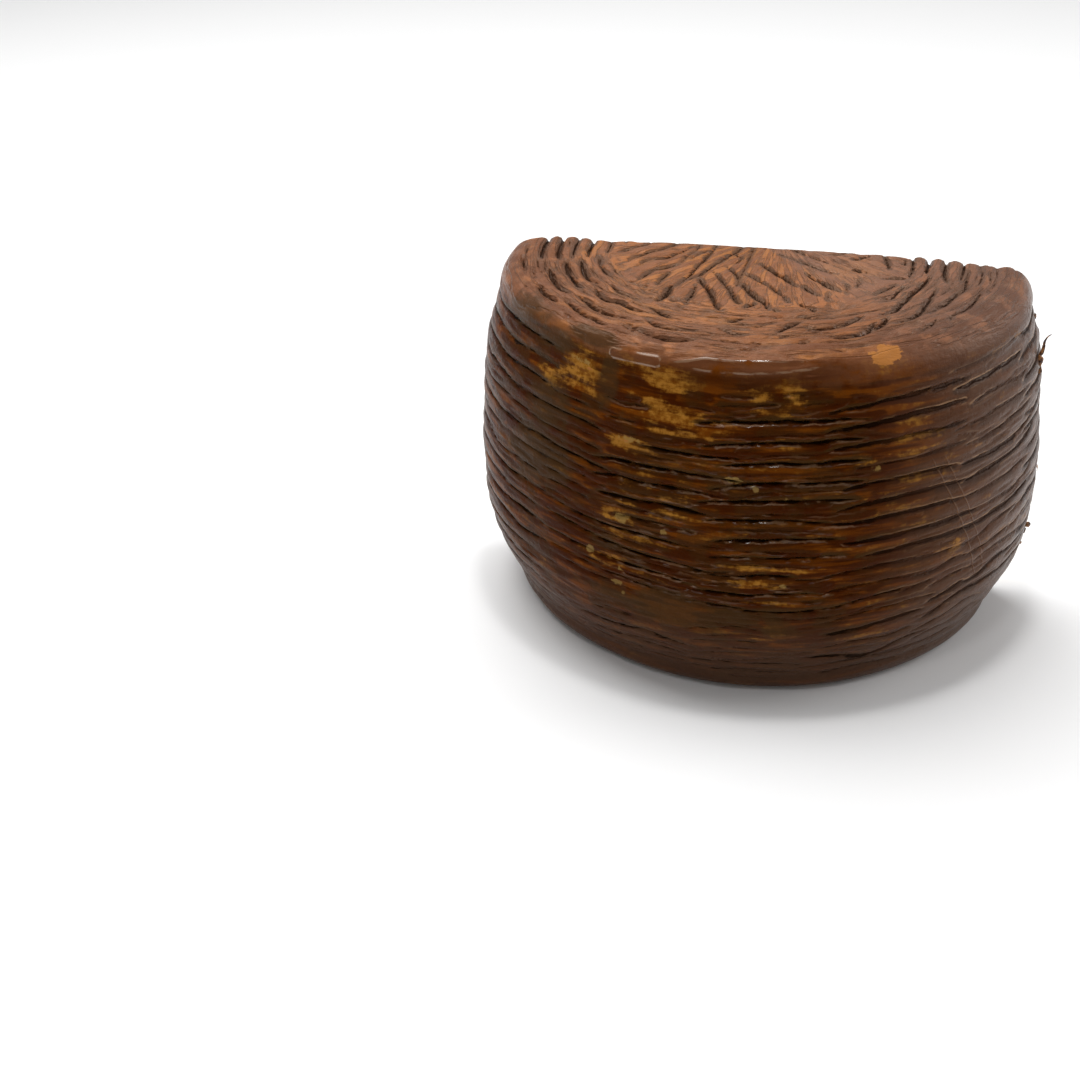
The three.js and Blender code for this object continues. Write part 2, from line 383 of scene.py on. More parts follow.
# The end's lines as the photograph shows them: place along the cut, then distance in front of it
TOP_LINES: dict[Press, tuple[Line, ...]] = {
    Press.CLEFT: (
        (-78.8, -6, -78.2, 4, -77.4, 11, -76.6, 16, -75.2, 21),
        (-73.5, -6, -72.4, 5, -71.6, 11, -70.5, 17, -69, 21),
        (-61.5, 20, -59.7, 27, -57.9, 32, -55.3, 36.5, -50.5, 42),
        (-66.5, 22.5, -64.7, 28.6, -62.6, 34, -60.5, 38, -58.4, 43, -56, 46),
        (-70.7, 28.5, -68.9, 35, -66.3, 41, -63.7, 45.5, -62, 48, -59.5, 50.5),
        (-71.5, 43, -69.7, 47.4, -68.2, 50.3, -66.3, 53, -64.5, 55, -62.2, 57.5),
        (-51.3, 46.3, -49.2, 50.5, -47, 53.5, -44.7, 55.5, -42.4, 56, -40.3, 57, -37.6, 59, -32.5, 62),
        (-56.3, 52, -52.4, 56, -50.3, 59, -48.2, 61.6, -45.5, 63.5, -42.9, 65.3, -37, 67.8),
        (-59.7, 55, -56.6, 59.7, -54.7, 62.6, -52.4, 65.5, -49.7, 68.4, -47, 70, -44.5, 72.6, -42, 74.3),
        (-34.9, 71.5, -32, 74.7, -29.4, 77, -26.7, 78.7, -24, 80, -20, 81.3, -15.7, 81.5, -11, 80.3),
        (-26.8, 40, -27.3, 46.8, -28.4, 53),
        (-18.9, 31, -16.2, 36.5, -13.5, 41.5, -11.3, 47.5, -9.4, 53, -7, 58),
        (-4, 33.3, -1.3, 38.5, 1.3, 43, 3.4, 45.8, 5.5, 48, 7.4, 54),
        (12.2, 70.5, 13.2, 68, 14.7, 65.8, 16.1, 63.9, 17.9, 62),
        (19.6, 64.3, 22.9, 65.3, 26, 64.3, 28.7, 62.6, 31.3, 61, 33.4, 58.4, 35.3, 55.8, 36.6, 52.4),
        (27.9, 70.5, 31.3, 70.3, 34, 68.7, 36.6, 66.8, 38.7, 64.2, 40, 62, 40.8, 58),
        (57, 16, 54.2, 23.4, 52.1, 29.7, 50, 35.5, 47.9, 42.3, 46.4, 46.8, 44.3, 49.2, 41.8, 50.8),
        (44.5, 53, 43.8, 56.3, 43, 59, 41.9, 61, 41.2, 63.3),
    ),
    Press.DEEP: (
        (-62.6, -6, -61.3, 6.5, -60.5, 13.5, -59.4, 18.5),
        (-57.7, 66.8, -55, 70.5, -53.4, 72.6, -52.2, 75.2), (-45.3, 87.2, -42, 89.6),
        (-29, 60.2, -26.7, 62.4, -25.2, 63.7, -22.3, 65.5),
        (-29.8, 68.3, -26.7, 71, -24, 73, -21, 74, -17.3, 74.2, -12, 74), (-29.6, 52.3, -27.8, 54),
        (-24.8, 52.2, -22.6, 53.2), (-21.7, 56.2, -19.8, 57.2), (-5.8, 41.5, -4, 46.8, -2, 51),
        (-0.6, 53.6, 1.3, 51, 3, 49.2), (-3.3, 65.8, -1.6, 63.5, 0.2, 61.7),
        (16.2, 47.4, 18.2, 49, 20.3, 50.5, 22, 53.6),
        (13, 89.5, 17, 88.4, 20.3, 87.6, 22.4, 85.8, 24, 84.7, 26, 84), (19.2, 77.8, 21.3, 76.3, 23, 76.3),
        (-0.7, 15, 2.9, 18.6, 6, 22.3, 8.7, 25.5, 11.3, 29.2, 14, 33), (30.5, 13.6, 33, 15.2, 36.6, 16.2),
        (15.2, 20.8, 18.8, 25.5, 22.5, 29.7, 26.7, 33.4, 28.2, 35.4),
        (57.2, -6, 57.1, 0, 56.3, 5.5, 55.4, 13.5), (63, -6, 62.9, 0, 62.1, 6.5, 61.8, 13.4, 62.7, 20),
        (57, 66.2, 55.9, 68.4, 54.3, 69.9),
        (59.1, 25.5, 57.4, 33, 55.9, 40, 54.8, 45.3, 53.3, 49.5, 52.2, 52, 50.6, 54.2, 47, 57.6),
        (-41.2, 36.6, -39.8, 38.6),
    ),
    Press.FIRM: (
        (-67.7, -6, -66.8, 5, -66.1, 11, -65.1, 20), (-82.8, 17.5, -81.3, 23.5, -79.7, 28.5, -78.4, 33),
        (-56.5, 15, -54.2, 23, -52.1, 28.5, -48, 35),
        (-77.6, 39, -75, 48.4, -73.4, 53.2, -71.1, 58, -69.2, 60, -65, 63.3),
        (-47.6, 41.4, -44.7, 45.3, -42.9, 48.2, -40, 50, -38.2, 52, -35.5, 54.4),
        (-35.9, 74, -33.6, 76.3, -31.2, 79.3),
        (-51.6, 76.4, -48.7, 79.2, -45.8, 81.3, -43.4, 83, -40.4, 85.7),
        (-40, -2, -44.2, 4, -47.4, 7, -50.4, 10.2),
        (-38.4, 78, -34, 82, -31.5, 84.2, -28.3, 86.3, -25.7, 87.6, -21, 88.2, -15.5, 87.8),
        (-31, -2, -34.2, 4.4, -36.8, 7.6, -40.5, 11.3, -44.2, 15.5, -46.3, 19.6),
        (-25.4, 3, -28.4, 8, -31.6, 12.8, -34.7, 16, -38.4, 17.5, -40, 19.7, -42, 24.6),
        (-28, 19, -30.5, 22.3, -33.7, 25.5, -36, 28, -37.4, 32.8, -38.9, 37),
        (-29.3, 26.3, -31, 32.8, -31.8, 37, -31.3, 41.6),
        (-17.1, -4, -18.3, 6.5, -20, 14.4, -21.2, 21.3, -22.3, 28.2, -23.6, 33, -26, 41.6),
        (-7.2, -4, -9.7, 4, -12.4, 10, -14.5, 16, -16.6, 22, -18.8, 28, -22.7, 34),
        (-19, 37, -18.6, 45, -19.3, 51, -19, 56), (-11.2, 20.2, -8.7, 24, -6.6, 26.5, -5.3, 32),
        (-15.4, 25, -12.4, 29.7, -9.7, 34.4, -7.1, 40, -6, 43.4, -3.8, 48.6),
        (-5, 23.5, -1.3, 27, 1.8, 30.2, 5, 34, 7.6, 37.6, 10.8, 42, 13.4, 47),
        (15.6, 32.1, 18.8, 36.5, 21.8, 40.1), (8.7, 52.8, 10.6, 54.4), (10, 60, 11.3, 58.2, 13.4, 56.8),
        (17, 57.2, 22, 58), (20.7, 66.2, 22.9, 68, 25.1, 66.6), (11.4, 74.9, 13.9, 73.7, 16.7, 72.2),
        (33.3, 77.6, 35.7, 76.2, 38.3, 74.7, 40.7, 73.1), (3, 85.1, 5, 84.5, 8.3, 83.7),
        (-6, 71, -2.2, 73.2, 0.1, 74.2, 3.6, 74.1), (30, 6.3, 33.6, 3.4, 36.6, 1.5),
        (41.4, -4, 41.5, 0, 42.5, 5.5, 43.1, 12), (41.1, 21.5, 43.6, 19.7, 46.2, 19, 49.9, 17.9),
        (51.3, -6, 51.3, 0, 51.1, 9.7, 49.7, 18), (50.1, 73, 48.5, 75.3, 46, 77.3),
        (69, -6, 68.9, 2.8, 67.9, 9.7, 67, 16.5), (59.9, 51.9, 58, 56.3, 56.4, 58.4, 55.1, 61, 54.4, 62.6),
        (70.2, 7, 68.9, 17, 68.4, 24, 65.8, 28.6, 63.7, 34, 62.1, 38, 60.1, 41, 59, 44.2, 57.2, 48),
        (46, 25.5, 42.5, 30.7, 39, 36.5),
        (73.9, 25, 72.1, 31.8, 70.3, 37.6, 68.5, 41, 66.9, 44.2, 64.8, 47.4, 64, 52),
        (48.5, 27, 46.2, 32.8, 44.6, 37, 41.1, 39.5),
    ),
    Press.LIGHT: (
        (-69.8, 3, -68.5, 9.6), (-51.5, -4, -49.3, 3), (-56.3, -5, -54.8, 5, -54.2, 12),
        (-73.5, 23.5, -71.4, 33), (-76.5, 29, -74.7, 36, -73.5, 38.7), (-83.5, 8, -82, 18),
        (-55.4, 80, -52.4, 83.2, -49.9, 84.6), (-35.9, 80.6, -33, 83.7, -30, 86.5, -28.3, 89.7, -25, 92.6),
        (-23.7, -4, -23.7, 6.5, -26.3, 13.4, -28.2, 21), (-24.6, 14.2, -19.8, 6.2),
        (-35.3, 39.5, -35.3, 47), (-4.4, -4, -4.7, 6.5, -5, 14.4, -5, 22.3, -5.3, 30.2, -5.5, 39),
        (-10, 7.2, -6.3, 12.2), (-7.2, 11.8, -8.9, 17.2),
        (8.2, -0.7, 11.8, 2.3, 15, 5, 18.2, 7.5, 22.6, 10.2),
        (11.3, 10.4, 15, 13.4, 18.8, 16.2, 22.5, 18.6, 26.2, 20.5), (4.5, 5.8, 13.8, 11),
        (22.5, 3.1, 27.3, 0.7, 31, -1.2), (10.3, 2.5, 17.5, 6.8, 23.8, 11.8, 32.3, 18.2),
        (48.9, 1.5, 48.2, 7.5), (29.8, 29, 30.5, 37), (33.7, 23, 33.3, 31), (24.6, 37, 24.6, 44.4),
        (75.1, -4, 74.7, 7.6, 74.2, 14, 72.3, 22.3), (77.7, 6.5, 77, 17.5), (11, 43.7, 13.1, 47),
        (-3.6, 69.3, 0.1, 70.5, 3, 70.2), (-12, 78.4, -7, 79, -2, 80, 2.5, 80), (-11.5, 85.7, -5.5, 86.6),
        (5, 79.6, 10.2, 78.9), (-6.2, 83, -0.9, 84.7, 3.5, 85.4), (0, 66.2, 4.5, 67.4, 8, 66.1),
        (5.7, 65.5, 8.7, 64.2, 11.2, 62.4), (6.2, 82.2, 11.8, 80.3), (-60, 66, -53, 74),
        (-66, 27, -63.5, 33), (66, 52, 62, 60), (8, 72.5, 13, 71), (30, 80, 38, 77.5), (50.8, 43, 50, 46.5),
    ),
    Press.BROAD: (
        (-49, 18, -46.5, 26, -43.5, 33, -40.5, 39), (-25, 66, -18, 67.8, -10, 67),
        (-30, 80, -24, 82.5, -17, 82.5), (23, 7, 29, 13, 35, 19), (27, 43, 27.5, 50, 24, 57),
        (47, 60, 45, 66, 44, 71), (-36, 43, -34, 50, -32, 56), (-23, 58, -16, 60.5, -9, 60),
        (3, 69, 11, 70), (-12, 78.5, -4, 79), (-66, 57, -60, 62), (55, 55, 51.5, 59), (58, 62, 56.5, 67),
        (-48, 74, -43, 80),
    ),
}

# The side's lines: distance round the side from the front, then height
SIDE_LINES: dict[Press, tuple[Line, ...]] = {
    Press.DEEP: (
        (-24, 92.9, -10, 92.8, 4, 93.4), (-44, 84.3, -34, 85.8, -15, 86, 3, 85.8),
        (-42, 79, -30, 80.2, -12, 80.5, -3, 80), (-41, 72.9, -28, 73.8, -14, 74, -5, 73.2),
        (-6, 103.6, 8, 104.4, 20, 105, 42.5, 104.9), (-4, 96.6, 8, 98.2, 20, 98.6, 42, 98.7),
        (1, 90.5, 10, 91.4, 22, 91.9, 42, 91.9), (-1, 82.5, 5, 83.8, 12, 85, 24, 85.1, 41, 85),
        (-5, 77.2, 4, 78.7, 16, 79, 26, 79, 39, 78.8), (-2, 71.4, 8, 72.3, 22, 72.6, 34, 71.2),
        (1, 65, 14, 65.9, 22, 66.4, 36, 65.5), (36, 102.3, 50, 103.2, 66, 104.4, 80, 104.2),
    ),
    Press.FIRM: (
        (-34, 67, -22, 67.3, -9, 67), (-50, 62.3, -30, 61.8, -9, 61),
        (-63, 58, -48, 56.8, -30, 55.2, -15, 54.2, -4, 52.6), (-61, 51, -40, 49.8, -22, 49.2, -10, 47),
        (-73, 82.8, -58, 82.3, -41, 81.4), (-72, 95.2, -58, 95, -44, 94.4), (-1, 59, 14, 59.8, 36, 59.8),
        (0, 51.6, 10, 52.9, 22, 53), (-7, 45.8, 6, 45.9, 18, 46.2, 32, 46.2),
        (-7, 41.4, 6, 40.8, 14, 39.7, 26, 39.7, 36, 40.7, 44, 42.4, 61, 43.3),
        (33, 107.7, 44, 108.9, 56, 109.6, 66, 110.4, 82, 110.6), (35, 96, 50, 97.4, 66, 97.8, 79, 97.7),
        (39, 82.8, 48, 84, 60, 84.5, 76, 83.7), (38, 75.8, 46, 77, 58, 77.7, 79, 77.3),
        (35, 71.2, 52, 71.6, 70, 71.7, 81, 71.2), (41, 64.3, 55, 64.8, 70, 65, 85, 65),
        (49, 59.1, 66, 60, 88, 59.8, 104, 60.8, 121, 62), (81, 108.2, 94, 108.3, 117, 108.7),
        (81, 83.2, 96, 83, 112, 83.5, 121, 85), (85, 76.9, 100, 77.8, 114, 78.5, 127, 80.5),
        (72, 35.3, 80, 37, 85.5, 38.3), (86, 38, 94, 38, 104, 40.3, 116, 39.5, 129, 38.8),
        (73, 29, 80, 30.5, 87, 33.5, 106, 33.3, 116, 33.7, 127, 32),
        (35, 29.8, 46, 30.6, 54, 31.8, 67, 32.8),
        (31, 17.8, 41, 17.8, 48, 15.8, 57, 16, 64, 19.5, 73, 19.8),
        (-53, 21.2, -36, 21.8, -27, 23.2, -20, 22, -11, 20.4),
    ),
    Press.LIGHT: (
        (-43, 105.5, -36, 104.7, -27, 105.3), (-40, 99.2, -29, 99.9), (-65, 100.7, -49, 100.3),
        (-72, 88.6, -44, 87.8), (-71, 76.7, -55, 76.5, -41, 75.5), (-68, 69.2, -47, 69.3),
        (-65, 63, -46, 62.4), (-63, 45.5, -40, 44.2, -24, 43.2, -13, 43), (-45, 27.9, -36, 28.5, -30, 28.9),
        (-51, 15.2, -40, 16, -30.5, 16.9), (-30, 16.6, -13, 15.6), (-42, 10.3, -29, 12.7),
        (-26, 11, -13, 11), (8.5, 109.3, 12, 110, 17, 110.5), (-2, 109.1, 8, 109.5), (26, 110.3, 34, 110.7),
        (24, 52.4, 30, 51.7, 36, 52.8), (-8, 52.4, 4, 54), (-9, 29.6, 0, 31.6, 5, 32.6, 14, 31.4),
        (-7, 24.3, 4, 26.2, 13, 26.3), (-9, 17.6, 6, 19.8, 15, 20.9), (25, 19.8, 31.5, 21.5),
        (-9, 13.3, 10, 14.2, 20, 14.5, 29, 13.7), (-11, 9.6, 10, 9.7, 31, 9.6),
        (45, 115.4, 56, 116, 81, 116.3), (44, 89.9, 58, 90.5, 79, 91),
        (35, 52.8, 44, 54.3, 54, 55, 62, 54.5, 77, 53.8), (34, 46.6, 42, 48.3, 56, 48.6, 67, 48.2),
        (37, 34.8, 46, 37.2, 60, 38, 71, 37.8), (37, 23.6, 50, 24.6, 58, 24, 67, 26),
        (31, 12.4, 42, 13.2, 54, 13.8, 67, 13.4), (31, 7.4, 50, 9.5, 67, 8),
        (76, 113.8, 92, 114.6, 117, 114.4), (87, 101.9, 96, 102.9, 108, 102.6, 123, 101.6),
        (79, 95.3, 92, 96.2, 104, 96.8, 121, 96.4), (83, 89.5, 100, 89.8, 112, 91, 123, 91.8),
        (83, 71.6, 100, 71, 119, 71.5), (85, 65.4, 100, 64.8, 116, 65, 125, 67.5),
        (59, 54.6, 86, 54, 98, 56.4, 111, 57), (109, 55.2, 129, 57.6),
        (59, 48.6, 70, 47.6, 79, 49, 87, 48.1), (86, 48.4, 109, 50.4), (109, 49.2, 127, 51.6),
        (59, 42.5, 71, 44.5), (71, 41.7, 82, 42.9, 91, 42.2), (92, 44.4, 104, 46, 114, 45.5, 125, 43.7),
        (70, 22.8, 80, 24.6, 90, 27.6, 99, 26), (73, 17, 82, 19, 90, 18.7, 97, 21.5, 103, 19.8),
        (59, 13.2, 80, 12.6, 91, 13.6),
    ),
    Press.FINE: (
        (-38, 110.2, -28, 111.1), (-13, 112.1, -5, 111.2), (-25, 100.3, -10, 100.3), (-16, 76.7, -5, 77.3),
        (-32, 65.1, -21, 64.1), (-47, 33.5, -31, 33.2), (5, 115.6, 16, 115.9), (23, 115.9, 34, 116.6),
        (3, 48, 15, 48.3), (-5, 36.4, 15, 36), (-21, 6, 31, 5.6), (5, 88.2, 20, 88.6, 34, 89.2),
        (20, 75.6, 40, 75.2), (82, 85.5, 105, 86.2), (80, 79.2, 108, 80.2), (96, 73.2, 109, 73.8),
        (100, 66.4, 110, 67.4),
    ),
}


def eased(line: tuple, sides: int = 2, per_piece: int = 4) -> Array:
    """Run a smooth curve through a line's points.

    Args:
        line: The points' coordinates in turn, in millimetres.
        sides: Coordinates to a point.
        per_piece: Steps between one point and the next.

    Returns:
        Rows of places along the curve, in metres.
    """
    points = np.reshape(line, (-1, sides)) * MM
    pieces = len(points) - 1
    return points if pieces == 1 else curve_through(points, pieces * per_piece)


def spot_distance(x: Array, height: Array, spot: tuple[float, ...]) -> Array:
    """Measure places from the middle of an oval spot.

    Args:
        x: Each place's first coordinate, in metres.
        height: Its second.
        spot: The spot's middle, level, half width and half height, in millimetres.

    Returns:
        The distance from the middle, 1 at the spot's edge.
    """
    middle, level, half_width, half_height = spot
    return np.hypot((x - middle * MM) / (half_width * MM), (height - level * MM) / (half_height * MM))


@dataclass(frozen=True)
class Stroke:
    """The form of a pressed line: how wide, how deep and how it rounds the strands beside it."""

    half_width: float
    depth: float
    lean: float
    rounding: float
    swell: float
    fullness: float = 2.0
    least_gap: float = -9.0


class Skin:
    """A stretch of rind laid flat, into which the basket's lines are pressed."""

    far = 4.0
    waver_cells = (9 * MM, 9 * MM)
    tight_cells = (3.5 * MM, 3.5 * MM)
    tight_share = 0.4
    rag_cells = (2.6 * MM, 2.2 * MM)
    rag = 0.2
    reach_widths = 2.0
    reach_roundings = 1.8
    end_taper = 0.45
    depth_taper = 0.5
    steep_narrowing = 0.4
    wall_power = 2.5
    steep_power = 1.5
    slack_power = 1.3
    end_swell = 0.4
    firm_depth = 1.1 * MM

    def __init__(self, along: Array, across: Array, seed: int, sway: float) -> None:
        """Lay out the skin.

        Args:
            along: Each vertex's first coordinate.
            across: Its second.
            seed: Seed of the wavering.
            sway: How far lines waver sideways.
        """
        waver = Grain(seed, *self.waver_cells).at(along, across)
        tight = Grain(seed + 1, *self.tight_cells).at(along, across)
        self.along = along
        self.across = across + sway * (waver + self.tight_share * tight)
        self.ragged = 1.0 + self.rag * Grain(seed + 2, *self.rag_cells).at(along, across)
        self.gap = np.full_like(along, self.far)
        self.depth, self.firm, self.below, self.wet = np.zeros((4, len(along)))

    def nearest(self, path: Array, near: Array) -> tuple[Array, Array, Array]:
        """Find how the vertices near a line lie beside it.

        Args:
            path: The line's places.
            near: The vertices.

        Returns:
            Each one's distance from the line, whether it lies above it, and the share of the line before it.
        """
        place = np.stack([self.along[near], self.across[near]], axis=1)[:, None]
        start, run = path[:-1], np.diff(path, axis=0)
        length = np.hypot(run[:, 0], run[:, 1])
        share = np.clip(((place - start) * run).sum(axis=2) / length**2, 0.0, 1.0)
        gap = place - start - share[..., None] * run
        off = np.hypot(gap[..., 0], gap[..., 1])
        best = off.argmin(axis=1)
        row = np.arange(len(best))
        off, gap, share = off[row, best], gap[row, best], share[row, best]
        above = run[best, 0] * gap[:, 1] - run[best, 1] * gap[:, 0] > 0.0
        return off, above, (np.append(0.0, np.cumsum(length))[best] + share * length[best]) / length.sum()

    def press(self, path: Array, stroke: Stroke) -> None:
        """Press one line in, with the strands beside it rounded down towards it.

        Args:
            path: The line's places.
            stroke: Its form.
        """
        reach = self.reach_widths * stroke.half_width + self.reach_roundings * stroke.rounding
        low, high = path.min(axis=0) - reach, path.max(axis=0) + reach
        beside = (self.along > low[0]) & (self.along < high[0])
        near = np.flatnonzero(beside & (self.across > low[1]) & (self.across < high[1]))
        if near.size == 0:
            return
        off, above, travelled = self.nearest(path, near)
        taper = np.clip(1.0 - np.abs(2.0 * travelled - 1.0) ** stroke.fullness, 0.0, 1.0)
        lean = stroke.lean
        side = np.where(above, 1.0 - self.steep_narrowing * lean, 1.0 + lean)
        width = stroke.half_width * taper**self.end_taper * self.ragged[near] * side
        power = self.wall_power + np.where(above, self.steep_power * lean, -self.slack_power * lean)
        core = np.clip(1.0 - (off / (width + TINY)) ** power, 0.0, 1.0)
        swell = (self.end_swell + (1.0 - self.end_swell) * taper) * np.exp(-((off / stroke.rounding) ** 2))
        core = (1.0 - stroke.swell) * core * taper**self.depth_taper
        pressed = stroke.depth * (core + stroke.swell * swell)
        self.depth[near] = np.maximum(self.depth[near], pressed)
        clear = np.maximum((off - width) / MM, stroke.least_gap)
        closer = clear < self.gap[near]
        self.gap[near[closer]] = clear[closer]
        self.firm[near[closer]] = min(stroke.depth / self.firm_depth, 1.0)
        self.below[near[closer]] = 1.0 - above[closer]


@dataclass(frozen=True)
class SideBasket:
    """The imprint of the basket's side: rows of gashes between its stakes."""

    form: WheelForm
    seed: int = 41
    sway: float = 0.35 * MM
    pitch: float = 6.35 * MM
    top_row: float = 114.5 * MM
    foot_row: float = 7 * MM
    # Bays that the photograph doesn't show: start and end round the side, and how far the rows drop
    hidden_bays: tuple[Triple, ...] = ((-172, -128, 1.2), (-130, -71, 0.0), (121, 168, 1.6))
    bay_points: int = 5
    bay_waver: float = 0.4
    firm_above: float = 40 * MM
    firm_share: float = 0.75
    # The side of a row's gash that is steep changes here: above it at the left, below it at the right
    turn_over: float = 34 * MM
    left_lean: float = -0.5
    right_lean: float = 0.8
    slimness: float = 0.7
    overlap: float = 1.16
    row: Stroke = Stroke(0.0, 0.0, 0.0, 1.9 * MM, 0.35, 5.0)
    between: Stroke = Stroke(0.42 * MM, 0.6 * MM, 0.2, 1.2 * MM, 0.4)
    between_shift: float = 9.0
    between_drop: Span = (2.3, 4.1)
    wrinkle: Stroke = Stroke(0.5 * MM, 0.0, 0.3, 0.8 * MM, 0.3)
    wrinkles: int = 600
    wrinkle_half: Span = (2.5, 9)
    wrinkle_rise: float = 0.5 * MM
    wrinkle_depth: Span = (0.15, 0.5)
    # Low relief: height, then cells round the side and up it
    lumps: Triple = (0.28 * MM, 16 * MM, 3.4 * MM)
    fibres: Triple = (0.1 * MM, 5 * MM, 1.2 * MM)
    swells: Triple = (0.35 * MM, 34 * MM, 26 * MM)
    # Where the side shines: round it at the left and the right, and up it
    wet_left: Span = (-46 * MM, -36 * MM)
    wet_right: Span = (36 * MM, 50 * MM)
    wet_foot: Span = (36 * MM, 46 * MM)

    def hidden_lines(self) -> list[tuple[Array, Press]]:
        """Draw rows of gashes for the bays that the photograph doesn't show.

        Returns:
            Each line with how hard it is pressed.
        """
        draw = np.random.default_rng(self.seed)
        lines = []
        for start, end, drop in self.hidden_bays:
            height = self.top_row - drop * MM
            while height > self.foot_row:
                firm = height > self.firm_above and draw.random() < self.firm_share
                along = np.linspace(start, end, self.bay_points)
                across = height / MM + draw.normal(0.0, self.bay_waver, self.bay_points)
                lines.append((eased(np.column_stack([along, across])), Press.FIRM if firm else Press.LIGHT))
                height -= self.pitch
        return lines

    def between_lines(self, rows: list[Array]) -> list[Array]:
        """Draw thinner lines half a strand below the rows.

        Args:
            rows: The rows' lines.

        Returns:
            The thinner lines.
        """
        draw = np.random.default_rng(self.seed + 3)
        shift, drop = self.between_shift, self.between_drop
        moves = [(draw.uniform(-shift, shift), -draw.uniform(*drop)) for _ in rows]
        return [row + np.array(move) * MM for row, move in zip(rows, moves)]

    def wrinkle_lines(self) -> list[tuple[Array, float]]:
        """Draw the fine wrinkles between the gashes.

        Returns:
            Each wrinkle's line with its depth.
        """
        draw = np.random.default_rng(self.seed + 1)
        arc = math.pi / 2 * self.form.radius
        lines = []
        for _ in range(self.wrinkles):
            along = draw.uniform(-arc, arc)
            height = draw.uniform(self.foot_row, self.top_row)
            half = draw.uniform(*self.wrinkle_half) * MM
            rise = draw.normal(0.0, self.wrinkle_rise)
            path = np.array([[along - half, height - rise], [along + half, height + rise]])
            lines.append((path, draw.uniform(*self.wrinkle_depth) * MM))
        return lines

    def relief(self, angle: Array, height: Array) -> Skin:
        """Press the basket into the side.

        Args:
            angle: Each vertex's angle from the front.
            height: Its height.

        Returns:
            The pressed skin.
        """
        along = angle * self.form.radius
        skin = Skin(along, height, self.seed, self.sway)
        shown = [(eased(line), press) for press, lines in SIDE_LINES.items() for line in lines]
        for path, press in shown + self.hidden_lines():
            half_width, depth = press.value
            lean = self.right_lean if path[:, 0].mean() > self.turn_over else self.left_lean
            path = path.mean(axis=0) + (path - path.mean(axis=0)) * self.overlap
            width = self.slimness * half_width * MM
            skin.press(path, replace(self.row, half_width=width, depth=depth * MM, lean=lean))
        for path in self.between_lines([path for path, _ in shown if path[:, 0].mean() < self.turn_over]):
            skin.press(path, self.between)
        for path, depth in self.wrinkle_lines():
            skin.press(path, replace(self.wrinkle, depth=depth))
        lumps = low_relief(self.seed + 5, self.lumps, along, height)
        fibres = low_relief(self.seed + 6, self.fibres, along, height)
        swells = low_relief(self.seed + 7, self.swells, along, height, 1.0)
        skin.depth += lumps + fibres + swells
        shown = smooth(along, *self.wet_left) * (1.0 - smooth(along, *self.wet_right))
        skin.wet = shown * smooth(height, *self.wet_foot)
        return skin


